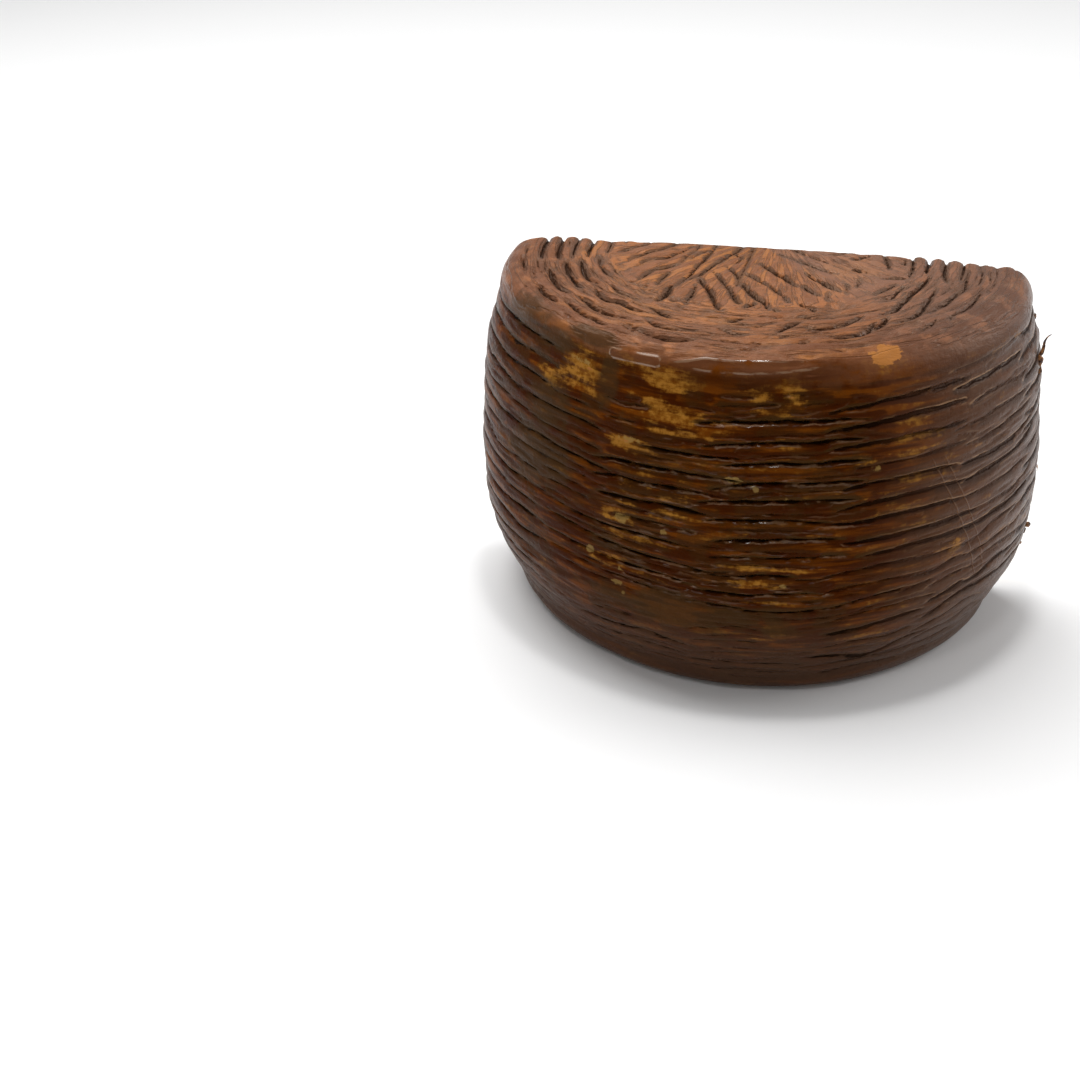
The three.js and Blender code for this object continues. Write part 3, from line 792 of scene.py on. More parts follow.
@dataclass(frozen=True)
class EndBasket:
    """The imprint of a basket's end: rings of gashes around a fan of strands."""

    form: WheelForm
    seed: int = 77
    sway: float = 0.3 * MM
    spread: float = 1.0
    firmness: float = 1.0
    slimness: float = 0.66
    deepening: float = 1.2
    wall: float = 1.0 * MM
    broad_least: float = 0.6
    strand: Stroke = Stroke(0.0, 0.0, 0.0, 0.0, 0.42, 3.6)
    ring: Stroke = Stroke(0.45 * MM, 0.7 * MM, 0.0, 1.5 * MM, 0.5, 4.0)
    scratch: Stroke = Stroke(0.6 * MM, 0.35 * MM, 0.0, 1.0 * MM, 0.4)
    # The ring's lines: the rings' radii, the angles between which they run, their lengths and the gaps
    ring_span: Triple = (56.5, 90.0, 3.4)
    ring_angles: Span = (-82, 80)
    ring_points: int = 7
    ring_start: float = 0.3
    ring_run: Span = (18, 55)
    ring_rest: Span = (2, 12)
    ring_waver: float = 0.8 * MM
    ring_drift: float = 0.45
    scratches: int = 420
    scratch_reach: float = 92 * MM
    scratch_spread: Span = (0.02, 1.0)
    scratch_half: Span = (2, 6)
    fan_radius: float = 54 * MM
    ring_turn: float = 0.12
    fan_turn: float = 0.35
    # Beside the cut the strands stay thick between these places, and the relief fades
    fade_left: Span = (-60 * MM, -57 * MM)
    fade_right: Span = (48 * MM, 50 * MM)
    edge_fade: float = 3 * MM
    fade_depth: float = 0.7
    lumps: Triple = (0.35 * MM, 9 * MM, 5 * MM)
    lump_radius: float = 70.0
    fibres: Triple = (0.1 * MM, 3 * MM, 3 * MM)
    thick_ends: tuple[tuple[float, float, float, float], ...] = (
        (-72, 12, 30, 1.15), (-30, 14, 12, 0.3), (25, 6, 6, 0.3), (38, 5, 6, 0.5), (53.5, 3, 14, 0.8),
        (60.5, 3, 14, 0.6), (68, 4, 12, 0.3),
    )
    glints: tuple[Span, ...] = (
        (33.5, 45), (38, 51), (27, 61), (35.5, 64.5), (27, 70), (39, 59), (57, 64), (14.5, 67.5), (18, 79),
        (11, 16), (7, 50), (-27, 50), (-25, 66), (-29, 79.5), (-24, 82), (-57, 67.5), (-54, 71), (-50, 82.5),
        (-22, 88), (-49, 50), (4, 84.5), (32, 15),
    )
    glint_size: float = 6.0

    def ring_lines(self) -> list[Array]:
        """Draw the long thin lines that run round the ring between its gashes.

        Returns:
            The lines' places.
        """
        draw = np.random.default_rng(self.seed + 3)
        first, last = (math.radians(angle) for angle in self.ring_angles)
        lines = []
        for radius in np.arange(*self.ring_span) * MM:
            angle = first + draw.uniform(0.0, self.ring_start)
            while angle < last:
                turns = angle + np.linspace(0.0, draw.uniform(*self.ring_run) * MM / radius, self.ring_points)
                drift = np.cumsum(draw.normal(0.0, self.ring_drift, self.ring_points))
                ring = radius + self.ring_waver * drift
                lines.append(np.column_stack([ring * np.sin(turns), ring * np.cos(turns)]) * self.spread)
                angle = turns[-1] + draw.uniform(*self.ring_rest) * MM / radius
        return lines

    def scratch_lines(self) -> list[Array]:
        """Draw the thin scratches, round the ring outside and out from the middle within.

        Returns:
            The scratches' lines.
        """
        draw = np.random.default_rng(self.seed + 1)
        quarter = math.pi / 2
        lines = []
        for _ in range(self.scratches):
            radius = self.scratch_reach * math.sqrt(draw.uniform(*self.scratch_spread))
            angle = draw.uniform(-quarter, quarter)
            middle = np.array([radius * math.sin(angle), radius * math.cos(angle)])
            ringed = radius > self.fan_radius
            turn = draw.normal(0.0, self.ring_turn) if ringed else quarter + draw.normal(0.0, self.fan_turn)
            turn += angle
            run = np.array([math.cos(turn), -math.sin(turn)]) * draw.uniform(*self.scratch_half) * MM
            lines.append(np.array([middle - run, middle + run]) * self.spread)
        return lines

    def knuckles(self, x: Array, inwards: Array) -> Array:
        """Raise the thick ends of strands beside the cut.

        Args:
            x: Each vertex's place along the cut.
            inwards: Its distance in front of the cut.

        Returns:
            How far each vertex is raised.
        """
        raised = np.zeros_like(x)
        for middle, half_width, length, height in self.thick_ends:
            gap = ((x / MM - middle) / half_width) ** 4 + (inwards / (length * MM)) ** 4
            raised = np.maximum(raised, height * MM * np.exp(-gap))
        return raised * self.firmness

    def stroke(self, press: Press) -> Stroke:
        """Give the form of a strand's line.

        Args:
            press: How hard the strand pressed.

        Returns:
            The line's form.
        """
        half_width, depth = press.value
        broad = press is Press.BROAD
        width = half_width * self.spread * (1.0 if broad else self.slimness) * MM
        least = self.broad_least if broad else self.strand.least_gap
        form = replace(self.strand, half_width=width, rounding=width + self.wall, least_gap=least)
        return replace(form, depth=self.deepening * depth * MM)

    def relief(self, x: Array, y: Array) -> Skin:
        """Press the basket's end into the wheel's.

        Args:
            x: Each vertex's place along the cut.
            y: Its place towards the cut.

        Returns:
            The pressed skin.
        """
        skin = Skin(x, -y, self.seed, self.sway)
        strokes = []
        for press, lines in TOP_LINES.items():
            strokes += [(eased(line) * self.spread, self.stroke(press)) for line in lines]
        strokes += [(path, self.ring) for path in self.ring_lines()]
        strokes += [(path, self.scratch) for path in self.scratch_lines()]
        for path, stroke in strokes:
            skin.press(path, stroke)
        radius, angle = np.hypot(x, y), np.arctan2(x, -y)
        lumps = low_relief(self.seed + 6, self.lumps, angle * self.lump_radius * MM, radius)
        fibres = low_relief(self.seed + 7, self.fibres, x, y)
        inner = smooth(x, *self.fade_left) * (1.0 - smooth(x, *self.fade_right))
        fade = 1.0 - self.fade_depth * inner * (1.0 - smooth(-y, 0.0, self.edge_fade))
        skin.depth = skin.depth * self.firmness * fade + lumps + fibres - self.knuckles(x, -y)
        for middle, level in self.glints:
            spot = np.exp(-(((x / MM - middle) ** 2 + (-y / MM - level) ** 2) / self.glint_size))
            skin.wet = np.maximum(skin.wet, spot)
        return skin


@dataclass(frozen=True)
class Eye:
    """A hole in the paste, by its middle on the cut face, its half sizes, its depth and its lean."""

    x: float
    height: float
    half_width: float
    half_height: float
    depth: float
    lean: float


EYES = (
    Eye(-48, 82, 2.0, 2.9, 2.8, 12), Eye(-52, 88, 2.2, 0.9, 2.0, 25), Eye(-41, 106, 3.4, 0.9, 2.0, -6),
    Eye(-32, 93, 2.9, 1.4, 2.4, 0), Eye(8, 80, 2.6, 1.5, 2.4, 10), Eye(7, 95, 2.8, 0.9, 1.8, -12),
    Eye(22, 88, 5.0, 2.0, 3.0, 4), Eye(29, 95, 2.9, 1.9, 2.4, -20), Eye(-3, 29, 1.7, 1.0, 1.8, 0),
    Eye(11, 34, 1.8, 1.3, 1.8, 30), Eye(28, 33, 1.4, 0.9, 1.6, 0), Eye(-2, 41, 1.0, 0.8, 1.4, 0),
    Eye(-16, 35, 1.3, 0.7, 1.4, 15), Eye(-75, 87, 1.2, 0.8, 1.4, 0), Eye(-64, 89, 1.1, 0.7, 1.4, 0),
    Eye(-58, 86, 1.2, 1.4, 1.5, 40), Eye(-26, 88, 1.3, 0.9, 1.4, 10), Eye(-51, 69, 1.2, 0.9, 1.4, -20),
    Eye(-65, 24, 1.2, 0.8, 1.3, 0), Eye(-62, 36, 1.0, 0.8, 1.3, 30), Eye(-14, 69, 1.1, 0.8, 1.3, 0),
    Eye(9, 50, 1.3, 0.7, 1.3, 15), Eye(5, 69, 1.2, 0.8, 1.3, -10), Eye(10, 88.6, 10, 0.35, 1.0, 4),
    Eye(40, 91, 11, 0.4, 1.1, -5),
)


@dataclass(frozen=True)
class CutFace:
    """The cut face: its eyes, its cracks, its torn curd and the knife's faint waves."""

    seed: int = 19
    pits: int = 80
    grid: float = 1.45 * MM
    # Where the curd tore: middle, level and half sizes, in millimetres
    torn_zones: tuple[tuple[float, float, float, float], ...] = (
        (-84, 62, 13, 17), (-54, 77, 8, 8), (54, 62, 16, 12), (15, 56, 10, 7), (40, 90, 16, 3),
    )
    torn_falloff: float = 1.5
    torn_cells: Span = (3.4 * MM, 2.6 * MM)
    torn_range: Span = (0.22, 0.5)
    # Low relief: height, then cells along the cut and up it
    waves: Triple = (0.16 * MM, 38 * MM, 22 * MM)
    drag: Triple = (0.05 * MM, 30 * MM, 3.5 * MM)
    curd: Triple = (0.4 * MM, 2.6 * MM, 2.2 * MM)
    lump_cells: float = 1.3
    lump: float = 0.28
    lump_offset: float = 0.37
    # The small pits: sizes, how far apart they stay, and the margins that they keep
    pit_size: Span = (0.35, 0.95)
    pit_slim: Span = (0.5, 1.0)
    pit_deep: float = 1.1
    pit_smoothness: int = 1
    eye_smoothness: int = 3
    pit_lean: float = 60.0
    pit_room: float = 1.6
    eye_room: float = 1.5
    torn_share: float = 0.55
    torn_spread: float = 0.6
    pit_reach: Span = (86, 88)
    pit_heights: Span = (12, 113)
    pit_margin: float = 2.0

    def torn(self, x: Array, height: Array) -> Array:
        """Tell where the curd tore instead of cutting clean.

        Args:
            x: Each vertex's place along the cut.
            height: Its height.

        Returns:
            The torn share of each vertex.
        """
        share = np.zeros_like(x)
        for zone in self.torn_zones:
            share = np.maximum(share, np.exp(-(spot_distance(x, height, zone) ** 2) * self.torn_falloff))
        broken = 0.5 + 0.5 * Grain(self.seed, *self.torn_cells).at(x, height)
        return smooth(share * broken, *self.torn_range)

    def relief(self, x: Array, height: Array) -> Array:
        """Sink the cut face under its plane.

        Args:
            x: Each vertex's place along the cut.
            height: Its height.

        Returns:
            How far each vertex is sunk.
        """
        waves = low_relief(self.seed + 1, self.waves, x, height, 1.0)
        drag = low_relief(self.seed + 2, self.drag, x, height, 1.0)
        curd = low_relief(self.seed + 3, self.curd, x, height, 1.0)
        return waves + drag + curd * self.torn(x, height)

    def add_hole(self, bm: BMesh, eye: Eye, smoothness: int) -> None:
        """Add one hole's solid to the cutter.

        Args:
            bm: The cutter's mesh.
            eye: The hole.
            smoothness: Subdivisions of its ball.
        """
        made = bmesh.ops.create_icosphere(bm, subdivisions=smoothness, radius=1.0)["verts"]
        offset = Vector((eye.x, eye.height, eye.depth)) * self.lump_offset
        for vert in made:
            vert.co *= 1.0 + self.lump * noise.noise(vert.co * self.lump_cells + offset)
        size = Matrix.Diagonal((eye.half_width * MM, eye.depth * MM, eye.half_height * MM, 1.0))
        turn = Matrix.Rotation(math.radians(eye.lean), 4, "Y")
        place = Matrix.Translation((eye.x * MM, 0.0, eye.height * MM))
        bmesh.ops.transform(bm, matrix=place @ turn @ size, verts=made)

    def small_pits(self) -> list[Eye]:
        """Draw the small pits, thickest in the torn zones and never in a large eye.

        Returns:
            The pits.
        """
        draw = np.random.default_rng(self.seed)
        furthest, limit = self.pit_reach
        lowest, highest = self.pit_heights
        made: list[Eye] = []
        while len(made) < self.pits:
            if draw.random() < self.torn_share:
                zone = self.torn_zones[draw.integers(len(self.torn_zones))]
                x = draw.normal(zone[0], zone[2] * self.torn_spread)
                height = draw.normal(zone[1], zone[3] * self.torn_spread)
            else:
                x = draw.uniform(-furthest, furthest)
                height = draw.uniform(lowest, highest)
            size = draw.uniform(*self.pit_size)
            clear = all(
                math.hypot(x - other.x, height - other.height)
                > size * self.pit_room + max(other.half_width, other.half_height) * self.eye_room
                for other in (*EYES, *made)
            )
            if clear and abs(x) < limit and lowest - self.pit_margin < height < highest + self.pit_margin:
                slim = draw.uniform(*self.pit_slim)
                lean = draw.uniform(-self.pit_lean, self.pit_lean)
                made.append(Eye(x, height, size, size * slim, size * self.pit_deep, lean))
        return made

    def cutter(self) -> Object:
        """Build the solid that sinks every hole into the cut face.

        Returns:
            The cutter, as an object.
        """
        bm = bmesh.new()
        for eye in EYES:
            self.add_hole(bm, eye, self.eye_smoothness)
        for pit in self.small_pits():
            self.add_hole(bm, pit, self.pit_smoothness)
        return object_from(bm, "eye_cutter")


# Where the rind is darker and greener, partly its own olive tone and partly painted shade: place round the
# side, height, half sizes and strength
OLIVE_AND_SHADE_PATCHES = (
    (-90, 116, 18, 7, 1.0), (-71, 113, 14, 4, 1.2), (-52, 118.5, 12, 3, 1.3), (-68, 92, 14, 9, 1.1),
    (-74, 74, 20, 14, 1.0), (-42, 106, 5, 9, 1.2), (-40, 54, 12, 5, 0.8), (-16, 36, 15, 8, 1.3),
    (-8, 36, 52, 9, 0.7),
)

# Where the dark dressing is worn to amber, given the same way
AMBER_PATCHES = (
    (-54, 107, 9, 6, 1.0), (-67, 101, 8, 4, 0.8), (-34, 115, 8, 3, 0.8), (-20, 112, 9, 4, 0.9),
    (-17, 104, 13, 3, 1.0), (-16, 98.3, 13, 2.2, 0.9), (-31, 90.5, 9, 3, 1.0), (-28, 84, 10, 2, 0.7),
    (-35, 77, 6, 3, 0.6), (-18, 76.5, 14, 2, 0.5), (-22, 70.5, 14, 2.2, 0.6), (-34, 64.5, 7, 3, 0.8),
    (-40, 47.5, 14, 4, 0.6), (-26, 46, 10, 2, 0.6), (-30, 59, 14, 2, 0.55), (12, 113, 7, 3, 0.75),
    (21, 115.5, 5, 2.5, 0.85), (22, 109, 8, 1.2, 0.7), (-6, 98, 5, 2, 0.6), (14, 100.8, 18, 1.6, 0.4),
    (18, 94.8, 18, 1.8, 0.35), (22, 81.5, 12, 2, 0.5), (32, 75, 12, 1.6, 0.5), (16, 69.5, 16, 1.8, 0.5),
    (15, 57, 15, 2, 0.75), (12, 50.5, 10, 1.8, 0.75), (13, 44.2, 9, 1.4, 0.7), (8, 27, 8, 7, 0.35),
    (45, 94.5, 4, 2.2, 0.8), (60, 107, 16, 2, 0.5), (62, 101, 16, 2, 0.55), (66, 95, 16, 2, 0.55),
    (62, 87, 16, 2, 0.45), (56, 81, 14, 2, 0.5), (58, 75, 16, 1.6, 0.45), (66, 68.5, 12, 1.6, 0.4),
    (79, 56, 7, 3.4, 0.8), (80, 51, 5, 2, 0.6), (58, 57, 12, 2, 0.4), (48, 27.5, 12, 2.6, 0.4),
    (50, 20.5, 12, 2.4, 0.4), (92, 89, 12, 2, 0.35), (54, 120.1, 8.4, 1.8, 2.2), (95, 68, 3, 1.6, 0.7),
    (97, 62.5, 7, 1.6, 0.6),
)

# Pale spots where the paste nearly shows
PALE_SPOTS = (
    (-55, 110, 6, 1.2, 0.6), (-31, 92, 6, 1.2, 0.6), (-46, 49, 1.8, 1.8, 1.0), (-34, 46, 1.6, 1.0, 0.8),
    (-35, 40.3, 2.4, 1.1, 1.0), (-32, 37.5, 1.2, 0.9, 0.7), (-33, 64.8, 3.0, 1.8, 0.8),
    (-18, 64, 1.6, 1.1, 0.7), (4, 86.6, 3.0, 1.4, 0.9), (10.5, 84.6, 1.6, 1.3, 1.0),
    (20.3, 50.8, 1.6, 1.1, 0.8), (20, 81.5, 1.6, 1.2, 0.5), (48, 92, 2.4, 1.4, 0.6),
)


def object_from(bm: BMesh, name: str) -> Object:
    """Turn a bmesh into an object in the scene.

    Args:
        bm: The mesh being built. It is freed.
        name: The object's name.

    Returns:
        The object.
    """
    mesh = bpy.data.meshes.new(name)
    bm.to_mesh(mesh)
    bm.free()
    made = bpy.data.objects.new(name, mesh)
    bpy.context.scene.collection.objects.link(made)
    return made


@dataclass
class HalfWheel:
    """The half wheel of cheese: shell, cut face, relief and masks."""

    form: WheelForm
    axis: Vector
    cut: CutFace
    side: SideBasket
    top: EndBasket
    base: EndBasket
    fade: float = 6 * MM
    ledge: tuple[Span, ...] = (
        (-140, 0.2), (-45, 0.12), (-20, 0.2), (-13, 0.28), (-2, 0.32), (11, 0.38), (20, 0.43), (34, 0.53),
        (44, 0.5), (60, 0.4), (140, 0.3),
    )
    lip: tuple[Span, ...] = (
        (-140, 0.2), (-45, 0.12), (-21, 0.29), (-14, 0.41), (-8, 0.52), (4, 0.54), (11, 0.58), (31, 0.6),
        (44, 0.53), (60, 0.42), (140, 0.3),
    )
    blister: tuple[Span, Span] = ((-41.5, 0.14), (-24.4, 0.26))
    blister_half: float = 1.7
    blister_height: float = 0.45
    blister_edge: Span = (-0.7, 0.5)
    # The ledge and the lip, in millimetres: heights, widths, and where they start and end round the side
    ledge_height: float = 0.8
    ledge_edge: Span = (-0.9, 0.3)
    ledge_fall: float = 8.0
    ledge_start: Span = (-20, -10)
    ledge_end: Span = (26, 50)
    # How far under the ledge its painted shade lies, and how wide it is
    under_ledge: Span = (2.5, 2.2)
    lip_height: float = 0.45
    lip_width: float = 0.75
    lip_start: Span = (-24, -17)
    lip_end: Span = (26, 40)
    lip_waver: float = 0.02
    lip_waver_cells: tuple[int, float, float] = (91, 6.0, 1.0)
    line_margin: float = 3.0
    line_rise: float = 0.2
    # How the finish passes from side to end at the lip, and from side to base: distances and a station
    lip_blend: Span = (0.5, 3.5)
    base_blend: Span = (1.25, 0.3)
    blend_limit: float = 3.0
    # Stations between which the baskets' imprints and the rim's colour take over from each other
    side_foot: Span = (1.2, 2.0)
    side_top: Span = (3.0, 3.75)
    top_edge: Span = (3.35, 4.0)
    base_edge: Span = (0.93, 1.0)
    rim_low: Span = (3.1, 3.4)
    rim_high: Span = (3.9, 4.3)
    ring_edge: Span = (51 * MM, 56 * MM)
    right_edge: Span = (math.radians(22), math.radians(50))
    patch_rim: float = 9 * MM
    # The thread mark: its height and place at the top, and how it slants and bends
    thread: tuple[float, float, float, float] = (88.0, 70.0, 0.56, 0.0022)
    dome_radius: float = 82 * MM
    flat_top: float = 0.05 * MM
    cut_margin: float = 5 * MM
    skin_margin: float = 0.05 * MM
    snap: float = 0.12
    sharp_angle: float = math.radians(58)
    sliver: float = 0.012 * MM

    def shell(self) -> BMesh:
        """Spin the average profile through half a turn and close the cut.

        Returns:
            The smooth half wheel, closed, its cut face one flat face.
        """
        stations = self.form.stations()
        radius, height, _, _ = self.form.place(stations, np.full_like(stations, self.form.top_rim))
        bm = bmesh.new()
        verts = [bm.verts.new((-r, 0.0, z)) for r, z in zip(radius, height)]
        edges = [bm.edges.new(pair) for pair in zip(verts, verts[1:])]
        bmesh.ops.spin(
            bm,
            geom=verts + edges,
            cent=(0.0, 0.0, 0.0),
            axis=(0.0, 0.0, 1.0),
            dvec=(0.0, 0.0, 0.0),
            angle=math.pi,
            steps=self.form.round_steps,
            use_merge=False,
        )
        bmesh.ops.remove_doubles(bm, verts=bm.verts[:], dist=TINY)
        rim = [edge for edge in bm.edges if edge.is_boundary]
        bmesh.ops.holes_fill(bm, edges=rim, sides=0)
        bmesh.ops.recalc_face_normals(bm, faces=bm.faces[:])
        return bm

    def grid_cut(self, bm: BMesh) -> None:
        """Divide the cut face into a fine grid.

        Args:
            bm: The smooth half wheel.
        """
        face = max(bm.faces, key=lambda item: len(item.verts))
        geom = [face, *face.edges, *face.verts]
        step = self.cut.grid
        across = int(self.form.radius / step)
        planes = [(Vector((1.0, 0.0, 0.0)), k) for k in range(-across, across + 1)]
        planes += [(Vector((0.0, 0.0, 1.0)), k) for k in range(1, int(self.form.height / step))]
        for way, k in planes:
            place = tuple((k + 0.5) * step * share for share in way)
            done = bmesh.ops.bisect_plane(bm, geom=geom, dist=self.snap * step, plane_co=place, plane_no=way)
            geom = done["geom"]

    def with_eyes(self, plain: Object) -> Object:
        """Sink the eyes into the cut face.

        Args:
            plain: The half wheel without eyes.

        Returns:
            The same object with its mesh cut.
        """
        cutter = self.cut.cutter()
        modifier = plain.modifiers.new("eyes", "BOOLEAN")
        modifier.operation = "DIFFERENCE"
        modifier.solver = "MANIFOLD"
        modifier.object = cutter
        graph = bpy.context.evaluated_depsgraph_get()
        cut = bpy.data.meshes.new_from_object(plain.evaluated_get(graph))
        bm = bmesh.new()
        bm.from_mesh(cut)
        bmesh.ops.remove_doubles(bm, verts=bm.verts[:], dist=self.sliver)
        bmesh.ops.dissolve_degenerate(bm, edges=bm.edges[:], dist=self.sliver)
        bm.to_mesh(cut)
        bm.free()
        plain.modifiers.clear()
        plain.data = cut
        bpy.data.objects.remove(cutter)
        return plain

    def locate(self, co: Array) -> dict[str, Array]:
        """Work out where every vertex of the smooth half lies.

        Args:
            co: The vertices, one row each.

        Returns:
            Radius, angle, height, station and depth under the skin, by name.
        """
        radius = np.hypot(co[:, 0], co[:, 1])
        angle = np.arctan2(co[:, 0], -co[:, 1])
        station, depth = self.form.nearest(radius, co[:, 2])
        depth[depth < self.skin_margin] = 0.0
        return {"radius": radius, "angle": angle, "height": co[:, 2], "station": station, "depth": depth}

    def pressed(self, at: dict[str, Array]) -> dict[str, Array]:
        """Press the three baskets into the skin.

        Args:
            at: Where each vertex lies.

        Returns:
            How deep each vertex's skin is pressed in, its share of wet, and how its nearest groove lies.
        """
        station, angle = at["station"], at["angle"]
        radius, height, _, _ = self.form.place(station, self.form.rim_at(angle))
        x, y = radius * np.sin(angle), -radius * np.cos(angle)
        base = self.base.relief(-x, y)
        base.depth = np.maximum(base.depth, 0.0)
        on_side = (1.0 - smooth(station, *self.side_top)) * smooth(station, *self.side_foot)
        shares = (
            (self.side.relief(angle, height), on_side),
            (self.top.relief(x, y), smooth(station, *self.top_edge)),
            (base, 1.0 - smooth(station, *self.base_edge)),
        )
        found = {}
        for name in ("depth", "wet"):
            found[name] = sum(getattr(skin, name) * share for skin, share in shares)
        gaps = np.stack([skin.gap + Skin.far * (1.0 - share) for skin, share in shares])
        found["gap"] = gaps.min(axis=0)
        for name in ("firm", "below"):
            found[name] = np.choose(gaps.argmin(axis=0), [getattr(skin, name) for skin, _ in shares])
        return found

    def rim_features(self, at: dict[str, Array]) -> tuple[Array, dict[Mask, Array]]:
        """Raise the rim's ledge, its thin lip and its blister.

        Args:
            at: Where each vertex lies.

        Returns:
            How far each vertex stands proud, and the rim's masks.
        """
        along = at["angle"] * self.form.radius / MM
        rim = self.form.rim_at(at["angle"])
        to_mm = rim / MM * math.pi / 2
        waver = self.lip_waver * Grain(*self.lip_waver_cells).at(along, np.zeros_like(along))
        straight = (self.form.height - rim - self.form.base_rim) / MM
        rise = (at["station"] - Part.TOP_RIM) * np.where(at["station"] > Part.TOP_RIM, to_mm, straight)
        above_ledge = rise - (waver + np.interp(along, *np.transpose(self.ledge))) * to_mm
        above_lip = rise + (waver - np.interp(along, *np.transpose(self.lip))) * to_mm
        front = smooth(along, *self.ledge_start) * (1.0 - smooth(along, *self.ledge_end))
        thin = smooth(along, *self.lip_start) * (1.0 - smooth(along, *self.lip_end))
        fall = np.exp(-((np.maximum(above_ledge, 0.0) / self.ledge_fall) ** 2))
        raised = self.ledge_height * front * smooth(above_ledge, *self.ledge_edge) * fall
        raised += self.lip_height * thin * np.exp(-((above_lip / self.lip_width) ** 2))
        start, end = np.array(self.blister)
        run = end - start
        share = np.clip((along - start[0]) / run[0], 0.0, 1.0)
        across = rise - (start[1] + share * run[1]) * to_mm
        off = np.hypot(along - start[0] - share * run[0], across) - self.blister_half
        raised += self.blister_height * (1.0 - smooth(off, *self.blister_edge))
        lip_line = np.abs(above_lip) + self.line_margin * (1.0 - thin)
        ledge_line = np.abs(above_ledge - self.line_rise) + self.line_margin * (1.0 - front)
        crisp, soft = self.lip_blend
        station, spread = self.base_blend
        end_on = np.maximum(above_lip / (crisp + soft * (1.0 - thin)), (station - at["station"]) / spread)
        drop, width = self.under_ledge
        masks = {
            Mask.LINE: np.minimum(np.minimum(lip_line, ledge_line), np.abs(off)),
            Mask.BLISTER: off,
            # Where the shade under the ledge is painted
            Mask.LEDGE: front * np.exp(-(((above_ledge + drop) / width) ** 2)),
            Mask.FACING: np.clip(end_on, -self.blend_limit, self.blend_limit),
        }
        return raised * MM, masks

    def deform(self, co: Array, at: dict[str, Array], depth: Array) -> Array:
        """Give the smooth half its uneven plan, rims, imprint and cut relief.

        Args:
            co: The smooth half's vertices.
            at: Where each lies.
            depth: How deep each vertex's skin is pressed in.

        Returns:
            The finished vertices, around the wheel's own axis.
        """
        station, angle = at["station"], at["angle"]
        plan = self.form.plan_factor(angle)
        even_rim = np.full_like(station, self.form.top_rim)
        smooth_radius, smooth_height, _, _ = self.form.place(station, even_rim)
        radius, height, out, up = self.form.place(station, self.form.rim_at(angle))
        skin_radius = radius * plan - depth * out
        dome = np.clip(1.0 - (radius / self.dome_radius) ** 2, 0.0, 1.0) * (station > Part.TOP_RIM)
        skin_height = height + self.form.dome * dome - depth * up
        share = np.exp(-((at["depth"] / self.fade) ** 2))
        share[at["depth"] == 0.0] = 1.0
        new_radius = at["radius"] * plan + (skin_radius - smooth_radius * plan) * share
        new_height = at["height"] + (skin_height - smooth_height) * share
        new_radius = np.maximum(new_radius, 0.0)
        new_height = np.minimum(new_height, self.form.height + self.form.dome - self.flat_top)
        x = new_radius * np.sin(angle)
        y = -new_radius * np.cos(angle)
        on_cut = np.clip(1.0 + co[:, 1] / self.cut_margin, 0.0, 1.0)
        y = np.where(co[:, 1] > -TINY, 0.0, y) - self.cut.relief(x, new_height) * on_cut
        return np.stack([x, y, new_height], axis=1)

    def patches(self, at: dict[str, Array], spots: tuple[tuple[float, ...], ...]) -> Array:
        """Spread soft-edged patches over the side and its upper rim.

        Args:
            at: Where each vertex lies.
            spots: Each patch's place round the side, height, half sizes and strength.

        Returns:
            The strongest patch's share at each vertex.
        """
        along = at["angle"] * self.form.radius
        above = at["station"] - Part.TOP_RIM
        rise = self.form.height - self.form.top_rim + above * self.patch_rim
        height = np.where(above > 0.0, rise, at["height"])
        share = np.zeros_like(along)
        for *spot, strength in spots:
            share = np.maximum(share, strength * np.exp(-(spot_distance(along, height, spot) ** 3)))
        return share

    def seam(self, at: dict[str, Array]) -> Array:
        """Measure from the first of the two thread marks on the right of the side.

        Args:
            at: Where each vertex lies.

        Returns:
            The distance round the side, in millimetres.
        """
        top, place, slant, bend = self.thread
        drop = top - at["height"] / MM
        return at["angle"] * self.form.radius / MM - (place + slant * drop - bend * drop**2)

    def keep_masks(self, mesh: bpy.types.Mesh, masks: dict[Mask, Array]) -> None:
        """Store the values that the finishes read.

        Args:
            mesh: The finished mesh.
            masks: The values by name, one for each vertex.
        """
        for mask, values in masks.items():
            layer = mesh.attributes.new(mask.value, "FLOAT", "POINT")
            layer.data.foreach_set("value", np.ascontiguousarray(values, np.float32))

    def build(self, finishes: list[Material]) -> Object:
        """Make the half wheel and dress it.

        Args:
            finishes: The rind's material and the paste's.

        Returns:
            The finished piece.
        """
        bm = self.shell()
        self.grid_cut(bm)
        piece = self.with_eyes(object_from(bm, "pecorino_half"))
        mesh = piece.data
        co = np.zeros(len(mesh.vertices) * 3)
        mesh.vertices.foreach_get("co", co)
        co = co.reshape(-1, 3)
        at = self.locate(co)
        skin = self.pressed(at)
        raised, rim_masks = self.rim_features(at)
        placed = self.deform(co, at, skin["depth"] - raised)
        station = at["station"]
        self.keep_masks(mesh, {
            **rim_masks,
            Mask.GAP: skin["gap"],
            Mask.FIRM: skin["firm"],
            Mask.BELOW: skin["below"],
            Mask.RIM: smooth(station, *self.rim_low) * (1.0 - smooth(station, *self.rim_high)),
            Mask.RING: smooth(at["radius"], *self.ring_edge),
            Mask.SEAM: self.seam(at),
            Mask.AMBER: self.patches(at, AMBER_PATCHES),
            Mask.OLIVE: self.patches(at, OLIVE_AND_SHADE_PATCHES),
            Mask.PALE: self.patches(at, PALE_SPOTS),
            Mask.RIGHT: smooth(at["angle"], *self.right_edge),
            Mask.WET: skin["wet"],
            Mask.SKIN: at["depth"] / MM,
            Mask.TORN: self.cut.torn(placed[:, 0], placed[:, 2]),
        })
        paste = self.paste_faces(mesh, co, at["depth"])
        placed += np.array(self.axis)
        mesh.vertices.foreach_set("co", placed.reshape(-1))
        mesh.materials.clear()
        for finish in finishes:
            mesh.materials.append(finish)
        mesh.polygons.foreach_set("material_index", paste.astype(np.int32))
